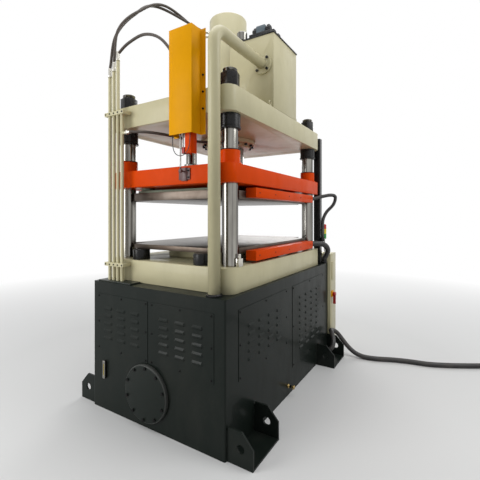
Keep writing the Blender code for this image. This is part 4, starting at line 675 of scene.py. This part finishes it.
screws("cylinder_flange_screws", places, (0, 0, -1), 0.030, 0.022, blackened)

# Slide: a welded plate sprayed orange, guided on the columns by bronze bushes in four bolted housings. A
# black wiper ring on each housing keeps dirt off the chrome.
orange = enamel(
    "orange_enamel", (0.680, 0.062, 0.002), (0.420, 0.036, 0.003), shine=0.04, grime=0.20, roughness=0.30
)
eased("slide", 0.003, orange)
slide_low, slide_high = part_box("slide")
WIPER_BORE = 0.0629
WIPER_RADIUS = 0.0770
outline = [(WIPER_BORE, 0), (WIPER_RADIUS, 0), (WIPER_RADIUS, 0.002), (0.0740, 0.005), (WIPER_BORE, 0.005)]
for corner in CORNERS:
    x, y = column_axis(corner)[:2]
    wiper = lathe("wiper_ring_" + corner, outline, (x, y, slide_high.z + 0.0002), steps=48)
    mounted(wiper, blackened, "black_oxide", body="slide_body")

# Ram: chromed and ground like the columns, and bolted to the slide by its flange with a ring of socket
# screws. It runs in the main cylinder.
RAM_RADIUS = 0.160
RAM_FLANGE_HEIGHT = 0.050
low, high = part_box("ram")
flange, flange_top = (high.x - low.x) / 2, low.z + RAM_FLANGE_HEIGHT
outline = [(0, low.z), (flange - 0.004, low.z), (flange, low.z + 0.004), (flange, low.z + 0.046)]
outline += [(flange - 0.004, flange_top), (RAM_RADIUS + 0.004, flange_top), (RAM_RADIUS, low.z + 0.054)]
outline += [(RAM_RADIUS, high.z - 0.008), (RAM_RADIUS - 0.008, high.z), (0, high.z)]
ram = lathe("ram_bar", outline, (0.0, cylinder_y, 0.0), steps=96)
mounted(ram, chrome, "chrome", "ram", body="slide_body")
places = circle(12, 0.195, (0.0, cylinder_y, flange_top))
screws("ram_flange_screws", places, (0, 0, 1), 0.030, 0.022, blackened, body="slide_body")

# Lock rod and lock unit: a chromed bar, screwed to the slide, runs through a blackened block on the crown,
# which clamps it to hold the slide up.
eased("lock_rod", 0.002, chrome)
eased("lock_unit", 0.003, blackened)

# Platens: heated steel plates, face-milled all over and browned by their heat. The lower one lies on the
# bed's tooling, and the upper one is screwed under the slide.
steel, steel_in, steel_place = finish("milled_steel", metallic=0.85)
milling = steel_place.stretched(6.0, 260.0, 260.0).noise(1.0, 3.0)
stain = steel_place.noise(6.0, 5.0, 0.6).spread(0.42, 0.78)
browned = steel_place.noise(3.0, 3.0).spread(0.35, 0.75).tint((0.120, 0.098, 0.080), (0.072, 0.055, 0.042))
feed(steel_in["Base Color"], stain.tint(browned, (0.050, 0.034, 0.025)))
feed(steel_in["Roughness"], milling.spread(0.3, 0.7, 0.28, 0.42))
feed(steel_in["Normal"], bump(milling, 0.0002, 0.5))
eased("lower_platen", 0.002, steel)
eased("upper_platen", 0.002, steel)

# Stools and bolster: four blackened blocks carry the lower platen above the bolster, a plate sprayed cream
# that lies on the bed.
for corner in CORNERS:
    eased("platen_stool_" + corner, 0.003, blackened)
eased("bolster", 0.003, cream)


# Stop block: a small milled block, zinc-plated and screwed to the bed beside the front right column, with a
# turned stud on top.
def slab(name, start, end, width, material, *nodes, body="frame"):
    """A machined or folded block between two corners, with its edges rounded."""
    start, end = Vector(start), Vector(end)
    add = bpy.ops.mesh.primitive_cube_add
    made = primitive(add, size=1.0, location=(start + end) / 2, scale=end - start)
    made.name = name
    rounded(made, width)
    mounted(made, material, "black_oxide", *nodes, body=body)


plated, plated_in, plated_place = finish("zinc_plate", metallic=1.0, roughness=0.26)
feed(plated_in["Base Color"], plated_place.noise(40.0).tint((0.62, 0.60, 0.54), (0.45, 0.43, 0.38)))
feed(plated_in["Normal"], bump(plated_place.noise(300.0), 0.0002, 0.3))
slab("stop_block", (0.621, -0.862, bed_top + 0.0003), (0.649, -0.806, bed_top + 0.062), 0.002, plated)
outline = [(0.0, 0.0), (0.011, 0.0), (0.011, 0.030), (0.009, 0.032), (0.0, 0.032)]
stud = lathe("stop_stud", outline, (0.635, -0.834, bed_top + 0.0625), steps=24)
mounted(stud, plated, "machined_steel")

# Insulation board: pressed fibre board with a greenish grey face, clamped between the slide and the upper
# platen on its round pads, to keep the heat in the platen.
board, board_in, board_place = finish("fibre_board", roughness=0.85)
fibre = board_place.stretched(30.0, 90.0, 200.0).noise(1.0, 4.0)
feed(board_in["Base Color"], fibre.tint((0.16, 0.21, 0.15), (0.30, 0.35, 0.26)))
feed(board_in["Normal"], bump(fibre, 0.0008, 0.5))
dress(frame["nodes"]["insulation_board"], board)


# Wiring covers: folded 3 mm sheet, sprayed orange and screwed to the right edges of the platens, over the
# wires of the heaters.
def spaced(low, high, inset, count):
    """Places in a row from one end to the other, that far in from both."""
    return [low + inset + (high - low - 2 * inset) * step / (count - 1) for step in range(count)]


for node, body in (("lower_wiring_cover", "frame"), ("upper_wiring_cover", "slide_body")):
    eased(node, 0.0012, orange)
    low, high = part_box(node)
    places = [(high.x, y, (low.z + high.z) / 2) for y in spaced(low.y, high.y, 0.06, 5)]
    screws(node + "_screws", places, (1, 0, 0), 0.011, 0.0035, blackened, sides=16, domed=True, body=body)

# Oil tank: a box welded from 5 mm sheet and sprayed cream, screwed to the crown beside the main cylinder.
# The cylinder fills from it when the slide drops.
eased("oil_tank", 0.002, cream)


# Valve block: a blackened manifold on the tank's thin black lid, which is screwed down all round. It carries
# three valves with two solenoids each, and a chromed breather stands beside it.
def grooves(length):
    """The grooves round a solenoid, at a length along it."""
    return -0.0022 * (math.sin(900 * length) > 0.3)


low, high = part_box("valve_block")
lid_top = low.z + 0.012
middle_x, middle_y = (low.x + high.x) / 2 + 0.030, (low.y + high.y) / 2
manifold_low = (middle_x - 0.110, middle_y - 0.150, lid_top)
manifold_high = (middle_x + 0.110, middle_y + 0.150, lid_top + 0.090)
valve_z = lid_top + 0.0902
valve_paint = enamel("valve_blue_grey", (0.075, 0.105, 0.125), (0.16, 0.17, 0.17), shine=0.4, grime=0.3)
slab("tank_lid", low, (high.x, high.y, lid_top), 0.002, blackened, "valve_block")
slab("valve_manifold", manifold_low, manifold_high, 0.004, blackened)
for number in range(3):
    y = middle_y + (number - 1) * 0.095
    body_low = (middle_x - 0.046, y - 0.035, valve_z)
    body_high = (middle_x + 0.046, y + 0.035, valve_z + 0.072)
    slab(f"valve_body_{number}", body_low, body_high, 0.005, valve_paint)
    for side in (-1, 1):
        start = Vector((middle_x + side * 0.0462, y, valve_z + 0.036))
        run = [start + Vector((side * 0.0008 * step, 0.0, 0.0)) for step in range(57)]
        solenoid = hose(f"solenoid_{number}_{side}", run, 0.0275, 32, grooves)
        mounted(solenoid, blackened, "black_oxide")
        plug_low = start + Vector((side * 0.022 - 0.014, -0.013, 0.022))
        plug_high = start + Vector((side * 0.022 + 0.014, 0.013, 0.0365))
        slab(f"solenoid_plug_{number}_{side}", plug_low, plug_high, 0.003, blackened)
outline = [(0.0, 0.0), (0.046, 0.0), (0.046, 0.006), (0.034, 0.010), (0.034, 0.040), (0.050, 0.046)]
outline += [(0.050, 0.118), (0.044, 0.126), (0.0, 0.128)]
breather_place = (low.x + 0.006 + 0.075, low.y + 0.006 + 0.100, lid_top + 0.0002)
mounted(lathe("tank_breather", outline, breather_place), chrome, "machined_steel")
sides = (low.x + 0.018, high.x - 0.018)
places = [(x, y, lid_top) for y in spaced(low.y, high.y, 0.03, 5) for x in sides]
screws("tank_lid_screws", places, (0, 0, 1), 0.014, 0.007, blackened)

# Return pipe: 89 mm steel tube with a welded elbow, sprayed cream. It stands on the bed on a black foot
# flange, and a cream one bolts it to the tank's front.
PIPE_RADIUS = 0.0445
PIPE_BEND = 0.115
FOOT_RADIUS = 0.059
FLANGE_RADIUS = 0.085
ELBOW_STEPS = 24
low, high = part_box("return_pipe")
pipe_x, pipe_y, rise = (low.x + high.x) / 2, low.y + FOOT_RADIUS, high.z - FLANGE_RADIUS
tank_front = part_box("oil_tank")[0].y
elbow = Vector((pipe_x, pipe_y, rise - PIPE_BEND))
points = [Vector((pipe_x, pipe_y, low.z + 0.006)), elbow]
for step in range(1, ELBOW_STEPS + 1):
    angle = math.radians(90 * step / ELBOW_STEPS)
    points.append(elbow + Vector((0, PIPE_BEND - PIPE_BEND * math.cos(angle), PIPE_BEND * math.sin(angle))))
points.append(Vector((pipe_x, tank_front - 0.006, rise)))
mounted(hose("return_tube", points, PIPE_RADIUS, 40), cream, "cream_paint", "return_pipe")
outline = [(0.0, 0), (0.057, 0), (FOOT_RADIUS, 0.002), (FOOT_RADIUS, 0.010), (0.057, 0.012)]
outline += [(0.050, 0.012), (0.047, 0.016), (0.0, 0.016)]
mounted(lathe("pipe_foot_flange", outline, (pipe_x, pipe_y, low.z)), blackened, "black_oxide")
outline = [(0.0, 0.0004), (0.083, 0.0004), (FLANGE_RADIUS, 0.0024), (FLANGE_RADIUS, 0.016), (0.083, 0.018)]
outline += [(0.054, 0.018), (0.048, 0.026), (0.0, 0.026)]
tank_flange = lathe("pipe_tank_flange", outline, (pipe_x, tank_front, rise), "Y")
mounted(tank_flange, cream, "cream_paint")
places = circle(4, 0.069, (pipe_x, tank_front - 0.018, rise), first=0.5, wall=True)
screws("pipe_flange_bolts", places, (0, -1, 0), 0.025, 0.014, blackened, hexagon=True)

# Riser pipes: four 30 mm steel tubes on a dark foot plate, sprayed cream, in clamp bars that stand off the
# bed and the crown. Each bar is screwed together between its pipes.
riser_paint = enamel(
    "riser_enamel",
    (0.530, 0.488, 0.308),
    (0.290, 0.255, 0.160),
    shine=0.20,
    grime=0.12,
    foot=(base_top + 0.0104, (0.02, 0.025, 0.022)),
)
eased("riser_pipes", 0.0015, riser_paint)
CLAMP_SCREWS_X = (-0.592, -0.540, -0.488, -0.436, -0.384)
CLAMP_FACE_Y = -1.056
bars_z = (bed_top - 0.0403, crown_high.z - 0.066)
places = [(x, CLAMP_FACE_Y, z) for z in bars_z for x in CLAMP_SCREWS_X]
screws("riser_clamp_screws", places, (0, -1, 0), 0.012, 0.006, blackened, sides=16)


# Hoses: wire-braided rubber hoses, 24 mm thick, with crimped and plated end fittings. They run from the
# risers to the main cylinder and to the lock unit.
def straight_ended(points, spacing):
    """A smooth route that leaves its first point and meets its last one in a straight line."""
    return [Vector(points[0]), *smooth_route(points[1:-1], spacing), Vector(points[-1])]


def fitting(name, end, inner, hose_radius, length, body="frame", material=plated):
    """A turned collar and a crimped sleeve over the end of a hose, towards an inner point of its route."""
    r = hose_radius
    outline = [(0.0, 0.0), (r + 0.005, 0.0), (r + 0.0065, 0.002), (r + 0.0065, 0.015), (r + 0.0035, 0.018)]
    crimps = max(2, int((length - 0.024) / 0.012))
    for step in range(crimps):
        start = 0.020 + step * (length - 0.024) / crimps
        outline += [(r + 0.0035, start), (r + 0.0022, start + 0.003)]
    outline += [(r + 0.0030, length - 0.003), (r + 0.0015, length), (0.0, length)]
    cap = lathe(name, outline, (0, 0, 0), steps=32)
    inward = (Vector(inner) - Vector(end)).normalized()
    turn = inward.to_track_quat("Z", "Y").to_matrix().to_4x4()
    cap.data.transform(Matrix.Translation(end) @ turn)
    mounted(cap, material, "machined_steel", body=body)


braid, braid_in, braid_uv = finish("wire_braid", source="UV")
lengthwise, turnwise = braid_uv.part("X"), braid_uv.part("Y")
right_lay = ((lengthwise * 55.0 + turnwise * 8.0) * (2 * math.pi)).maths("SINE")
left_lay = ((lengthwise * 55.0 - turnwise * 8.0) * (2 * math.pi)).maths("SINE")
weave = (right_lay * left_lay).spread(-0.6, 0.6)
feed(braid_in["Base Color"], weave.tint((0.018, 0.014, 0.011), (0.075, 0.054, 0.038)))
feed(braid_in["Roughness"], weave.spread(0.0, 1.0, 0.65, 0.42))
feed(braid_in["Normal"], bump(weave, 0.0006, 0.8))
crown_z = crown_high.z
HOSE_RADIUS = 0.012
HOSE_LINE = -1.030
hose_routes = {
    "crown_hose": [
        (-0.3597, HOSE_LINE, crown_z - 0.241),
        (-0.310, HOSE_LINE, crown_z - 0.241),
        (-0.170, -0.960, crown_z - 0.249),
        (-0.060, -0.800, crown_z - 0.261),
        (-0.020, -0.550, crown_z - 0.263),
        (0.000, -0.400, crown_z - 0.249),
        (0.000, -0.2803, crown_z - 0.241),
        (0.000, -0.2503, crown_z - 0.241),
    ],
    "arch_hose": [
        (-0.462, HOSE_LINE, crown_z + 0.3833),
        (-0.462, HOSE_LINE, crown_z + 0.443),
        (-0.360, -1.010, crown_z + 0.514),
        (-0.180, -1.000, crown_z + 0.544),
        (-0.020, -0.980, crown_z + 0.479),
        (0.090, -0.950, crown_z + 0.329),
        (0.100, -0.920, crown_z + 0.179),
        (0.1367, -0.895, crown_z + 0.100),
        (0.1667, -0.895, crown_z + 0.100),
    ],
}
port_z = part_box("main_cylinder")[1].z - 0.140
for number, x, rise in ((1, -0.514, 0.3023), (2, -0.566, 0.2593)):
    shift, top = number - 1.0, crown_z + rise
    angle = math.radians(205 + 22 * shift)
    out = Vector((math.cos(angle), math.sin(angle), 0))
    port = Vector((0, -0.030, port_z)) + out * 0.1903
    hose_routes[f"top_hose_{number}"] = [
        (x, HOSE_LINE, top),
        (x, HOSE_LINE, top + 0.08),
        (x + 0.03 + 0.02 * shift, -1.010, top + 0.36),
        (x + 0.12, -0.870, top + 0.56 + 0.03 * shift),
        (x + 0.20, -0.610 - 0.06 * shift, port_z + 0.10 - 0.02 * shift),
        port + out * 0.06,
        port,
    ]
for node, points in hose_routes.items():
    line = hose(node + "_braid", straight_ended(points, 0.012), HOSE_RADIUS, 16)
    mounted(line, braid, "hose_rubber", node)
    for side, (end, inner) in enumerate(((points[0], points[1]), (points[-1], points[-2]))):
        sleeve = 0.078 if end[2] > crown_z + 0.2 else 0.048
        fitting(f"{node}_fitting_{side}", end, inner, HOSE_RADIUS, sleeve)

# Guard cover: folded 3 mm sheet, sprayed yellow and screwed to the crown's front face by its two flanges,
# in front of the lock unit.
yellow = enamel(
    "yellow_enamel", (0.740, 0.330, 0.002), (0.480, 0.210, 0.004), shine=0.04, grime=0.18, roughness=0.32
)
eased("guard_cover", 0.0012, yellow)
low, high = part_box("guard_cover")
guard_z = low.z
flanges_x, screw_rises = (low.x + 0.022, high.x - 0.022), (0.034, 0.158, 0.282)
places = [(x, high.y - 0.003, crown_low.z + rise) for rise in screw_rises for x in flanges_x]
screws("guard_screws", places, (0, -1, 0), 0.016, 0.008, blackened)

# Position sensor: an extruded aluminium profile with a dark red end cap, in a folded channel sprayed orange.
# Its pull rod ends in a ball joint on a bracket, in red primer, that is screwed to the slide.
eased("sensor_channel", 0.001, orange)
anodised, anodised_in, anodised_place = finish("anodised_sensor", metallic=0.6)
low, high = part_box("position_sensor")
capped = anodised_place.part("Z") < (low.z + 0.046)
across = anodised_place.part("X")
# A band down the profile's groove is painted near black: painted shade in the groove.
groove_shade_mask = (across > low.x + 0.011) * (across < low.x + 0.018)
extruded = groove_shade_mask.tint((0.66, 0.66, 0.65), (0.02, 0.02, 0.02))
feed(anodised_in["Base Color"], capped.tint(extruded, (0.16, 0.020, 0.018)))
feed(anodised_in["Roughness"], anodised_place.noise(90.0).spread(0.3, 0.7, 0.30, 0.42))
eased("position_sensor", 0.0012, anodised)
primed, primed_in, primed_place = finish("red_oxide_primer")
low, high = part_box("sensor_rod")
bracket_mask = primed_place.part("Z") < low.z + 0.101
steel_tone = primed_place.noise(90.0).tint((0.46, 0.45, 0.43), (0.30, 0.29, 0.27))
feed(primed_in["Base Color"], bracket_mask.tint(steel_tone, (0.075, 0.020, 0.016)))
feed(primed_in["Metallic"], bracket_mask.spread(0.0, 1.0, 0.9, 0.0))
feed(primed_in["Roughness"], primed_place.noise(60.0).spread(0.3, 0.7, 0.32, 0.50))
eased("sensor_rod", 0.0008, primed)
slide_front = slide_low.y - 0.0004
bracket_front = slide_front - 0.008
bracket_low = (low.x - 0.027, bracket_front, low.z + 0.008)
bracket_high = (low.x + 0.083, slide_front, low.z + 0.096)
slab("sensor_bracket", bracket_low, bracket_high, 0.0015, primed, body="slide_body")
places = [(low.x + 0.070, bracket_front, low.z + rise) for rise in (0.026, 0.076)]
screws("sensor_bracket_screws", places, (0, -1, 0), 0.014, 0.007, blackened, sides=16, body="slide_body")

# Sensor wire: a thin black signal wire that hangs in a loop under the guard, from its left side to the
# channel, where it runs up again.
rubber, rubber_in, rubber_place = finish("sheath_rubber")
dust = rubber_place.noise(9.0, 5.0).spread(0.45, 0.75)
feed(rubber_in["Base Color"], dust.tint((0.016, 0.015, 0.015), (0.055, 0.050, 0.045)))
feed(rubber_in["Roughness"], dust.spread(0.0, 1.0, 0.42, 0.72))
feed(rubber_in["Normal"], bump(rubber_place.noise(240.0, 2.0), 0.0006, 0.5))
wire_points = [
    (0.178, -1.055, guard_z + 0.070),
    (0.180, -1.055, guard_z),
    (0.192, -1.055, guard_z - 0.105),
    (0.235, -1.055, guard_z - 0.150),
    (0.290, -1.053, guard_z - 0.150),
    (0.332, -1.050, guard_z - 0.105),
    (0.345, -1.048, guard_z - 0.030),
    (0.343, -1.047, guard_z + 0.070),
]
mounted(hose("sensor_wire", smooth_route(wire_points, 0.006), 0.0030, 12), rubber, "hose_rubber")

# Control cabinet: folded sheet, sprayed cream and screwed to the base's rear wall. Its door opens backwards
# on two hinges and is held by two locks, and the red-handled main switch is on its right side.
eased("control_cabinet", 0.0015, cream)
eased("cabinet_door", 0.0015, cream)
low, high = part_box("cabinet_door")
lock_outline = [(0.0, 0.0), (0.014, 0.0), (0.014, -0.003), (0.012, -0.005), (0.004, -0.005), (0.0, -0.003)]
pin_outline = [(0.0, -0.04), (0.0030, -0.04), (0.0036, -0.039), (0.0036, 0.039), (0.0030, 0.04), (0.0, 0.04)]
for number, share in enumerate((0.18, 0.82)):
    z = low.z + (high.z - low.z) * share
    lock = lathe(f"door_lock_{number}", lock_outline, (high.x - 0.035, high.y, z), "Y", 32)
    mounted(lock, plated, "machined_steel", body="door")
    pin = lathe(f"hinge_pin_{number}", pin_outline, (low.x - 0.004, high.y, z), steps=20)
    mounted(pin, plated, "machined_steel")
eased("main_switch", 0.0015, yellow)
red, red_in, red_place = finish("switch_red", roughness=0.32, coat=0.3)
feed(red_in["Base Color"], red_place.noise(30.0).tint((0.42, 0.012, 0.012), (0.32, 0.010, 0.010)))
eased("switch_handle", 0.002, red)

# Signal lamp: a plated pole on the cabinet's top, with a stack of green, yellow and red plastic lenses
# screwed on its end.
LENS_HEIGHT = 0.060
lens, lens_in, lens_place = finish("lamp_lenses", roughness=0.22)
lens_z = lens_place.part("Z")
first_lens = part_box("signal_lamp")[1].z - 3 * LENS_HEIGHT
second_lens = first_lens + LENS_HEIGHT
third_lens = first_lens + 2 * LENS_HEIGHT
lower_lenses = (lens_z > second_lens).tint((0.03, 0.30, 0.06), (0.75, 0.60, 0.03))
lenses = (lens_z > third_lens).tint(lower_lenses, (0.50, 0.02, 0.015))
feed(lens_in["Base Color"], (lens_z > first_lens).tint((0.55, 0.55, 0.53), lenses))
feed(lens_in["Metallic"], lens_z < first_lens)
eased("signal_lamp", 0.001, lens)

# Cable trunk: a folded black sheet duct behind the frame, strapped to the bed and the crown. It takes the
# wires from the cabinet up to the crown.
eased("cable_trunk", 0.002, blackened)

# Conduits: black corrugated plastic hoses for the heaters' wires, with a plated sleeve at the covers and a
# black one at the other end. The upper one's sleeve at its cover rides with the slide.
conduit, conduit_in, conduit_place = finish("conduit_black", roughness=0.42)
feed(conduit_in["Base Color"], conduit_place.noise(14.0).tint((0.013, 0.013, 0.014), (0.040, 0.038, 0.036)))
feed(conduit_in["Normal"], bump(conduit_place.noise(300.0), 0.0003, 0.3))
upper_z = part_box("upper_wiring_cover")[0].z + 0.039
lower_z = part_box("lower_wiring_cover")[0].z + 0.039
conduit_routes = {
    "upper_conduit": [
        (0.6193, 0.6403, upper_z),
        (0.6193, 0.7003, upper_z),
        (0.700, 0.830, upper_z + 0.035),
        (0.780, 0.920, upper_z + 0.055),
        (0.815, 0.975, upper_z + 0.035),
        (0.790, 0.985, upper_z - 0.050),
        (0.715, 0.965, upper_z - 0.140),
        (0.6793, 0.950, upper_z - 0.230),
        (0.6753, 0.9458, upper_z - 0.340),
        (0.6753, 0.9458, upper_z - 0.480),
    ],
    "lower_conduit": [
        (0.6193, 0.6403, lower_z),
        (0.6193, 0.7003, lower_z),
        (0.662, 0.765, lower_z + 0.002),
        (0.694, 0.860, lower_z - 0.006),
        (0.716, 0.950, lower_z - 0.040),
        (0.714, 1.020, lower_z - 0.095),
        (0.680, 1.060, lower_z - 0.160),
        (0.655, 1.065, base_top + 0.050),
        (0.655, 1.065, base_top + 0.0003),
    ],
}
for node, radius in (("upper_conduit", 0.0185), ("lower_conduit", 0.0285)):
    points, moving = conduit_routes[node], node == "upper_conduit"
    route = straight_ended(points, 0.0022)
    line = hose(node + "_corrugated", route, radius, 20, ripples(0.0015, 0.009))
    dress(line, conduit)
    if moving:
        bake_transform(line)
    else:
        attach(line, "frame")
    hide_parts(node)
    body, sleeve = ("slide_body", 0.045) if moving else ("frame", 0.078)
    fitting(f"{node}_elbow_0", points[0], points[1], radius, sleeve, body)
    fitting(f"{node}_elbow_1", points[-1], points[-2], radius, 0.045, material=blackened)

# Supply cable: a rubber-sheathed cable, 50 mm thick. It leaves a gland between the ears of the rear floor
# bracket, lies over the rear ear and along the floor, and its spare length lies in two flat turns.
CABLE_DIAMETER = 0.050
COIL_TURN = 0.300
COIL_TURNS = 2
COIL_PITCH = 0.052
TURN_STEPS = 60
RUN_IN_STEPS = 6
cable_points = [
    (0.7153, 0.772, 0.150),
    (0.790, 0.772, 0.150),
    (0.833, 0.788, 0.183),
    (0.838, 0.825, 0.240),
    (0.812, 0.880, 0.288),
    (0.778, 0.940, 0.309),
    (0.760, 0.995, 0.304),
    (0.768, 1.055, 0.288),
    (0.802, 1.108, 0.246),
    (0.858, 1.124, 0.174),
    (0.925, 1.120, 0.104),
    (1.005, 1.108, 0.053),
    (1.100, 1.108, 0.028),
    (1.230, 1.130, 0.0255),
    (1.406, 1.200, 0.0255),
    (1.570, 1.245, 0.0255),
    (1.741, 1.275, 0.0255),
    (1.900, 1.340, 0.0255),
    (2.050, 1.420, 0.0255),
    (2.200, 1.510, 0.0255),
    (2.320, 1.590, 0.0255),
]
cable_route = [Vector(cable_points[0]), *smooth_route(cable_points[1:], 0.02)]
cable_end = Vector(cable_points[-1])
ahead = (cable_end - Vector(cable_points[-2])).normalized()
aside = Vector((ahead.y, -ahead.x, 0.0))
outer_reach = COIL_TURN + CABLE_DIAMETER / 2
run_in = math.sqrt(outer_reach**2 - (COIL_TURN - CABLE_DIAMETER / 2) ** 2)
coil_centre = cable_end + aside * COIL_TURN + ahead * run_in
cable_route += [cable_end + ahead * run_in * step / RUN_IN_STEPS for step in range(1, RUN_IN_STEPS)]
for step in range(COIL_TURNS * TURN_STEPS + 1):
    turn = 2 * math.pi * step / TURN_STEPS
    reach = COIL_TURN - COIL_PITCH * turn / (2 * math.pi)
    cable_route.append(coil_centre + reach * (math.sin(turn) * ahead - math.cos(turn) * aside))
cable_length = sum((b - a).length for a, b in zip(cable_route, cable_route[1:]))
cable = hose("supply_cable", cable_route, CABLE_DIAMETER / 2)
mounted(cable, rubber, "hose_rubber", "floor_cable", "floor_cable_coil")

# Strain relief: a tapered rubber sleeve with three ridges, pushed over the cable where it leaves the gland,
# so that the cable doesn't kink there.
outline = [(0.0252, 0.0), (0.034, 0.0), (0.034, 0.012)]
for step in range(3):
    wide, start = 0.0325 - 0.0015 * step, 0.016 * step
    outline += [(wide, 0.014 + start), (wide + 0.0012, 0.018 + start)]
    outline += [(wide + 0.0012, 0.022 + start), (wide - 0.0006, 0.026 + start)]
outline += [(0.0268, 0.068), (0.0252, 0.069)]
mounted(lathe("cable_strain_relief", outline, cable_points[0], "X", 40), rubber, "hose_rubber")

# Bare end: the four cores of the cable stand out of its sheath, each in a colour of its own, with its
# copper stripped for the supply's terminals.
CORE_RADIUS = 0.0065
COPPER_RADIUS = 0.0042
CORE_TONES = ((0.12, 0.05, 0.02), (0.01, 0.01, 0.01), (0.20, 0.20, 0.20), (0.05, 0.22, 0.03))
CORE_BEND = ((-0.010, 0.0095), (0.020, 0.0105), (0.050, 0.0150), (0.085, 0.0170), (0.110, 0.0165))
copper, copper_in, copper_place = finish("bare_copper", metallic=1.0, roughness=0.35)
feed(copper_in["Base Color"], copper_place.noise(200.0).tint((0.72, 0.33, 0.18), (0.45, 0.20, 0.12)))
core_end = cable_route[-1]
onward = (core_end - cable_route[-2]).normalized()
sidewards = Vector((onward.y, -onward.x, 0.0))
for number, tone in enumerate(CORE_TONES):
    angle = math.pi * (0.25 + 0.5 * number)
    spoke = math.cos(angle) * sidewards + Vector((0.0, 0.0, math.sin(angle)))
    run = smooth_route([core_end + reach * onward + wide * spoke for reach, wide in CORE_BEND], 0.004)
    core_skin, core_in, core_place = finish(f"core_skin_{number}", roughness=0.45)
    feed(core_in["Base Color"], core_place.noise(60.0).tint(tone, [part * 0.7 for part in tone]))
    mounted(hose(f"cable_core_{number}", run, CORE_RADIUS, 16), core_skin, "hose_rubber")
    strands = hose(f"copper_{number}", [run[-1], run[-1] + onward * 0.022], COPPER_RADIUS, 14)
    mounted(strands, copper, "brass")

# Coil ties: two rubber bands, laid over both turns of the cable and down on either side, hold the spare
# length together.
TIE_RADIUS = 0.0022
TIE_STEPS = 24
drop = Vector((0.0, 0.0, 0.018))
wide = COIL_PITCH / 2 + CABLE_DIAMETER / 2 + 0.002
for number, angle in enumerate((0.9, 3.9)):
    outward = math.sin(angle) * ahead - math.cos(angle) * aside
    middle = coil_centre + outward * (COIL_TURN - COIL_PITCH * (0.5 + angle / (2 * math.pi)))
    arch = []
    for step in range(TIE_STEPS + 1):
        turn = math.pi * step / TIE_STEPS
        reach = wide * math.copysign(abs(math.cos(turn)) ** 0.5, math.cos(turn))
        rise = (CABLE_DIAMETER / 2 + 0.003) * math.sin(turn) ** 0.5
        arch.append(middle + outward * reach + Vector((0.0, 0.0, rise)))
    band = hose(f"coil_tie_{number}", [arch[0] - drop, *arch, arch[-1] - drop], TIE_RADIUS, 10)
    mounted(band, rubber, "hose_rubber")
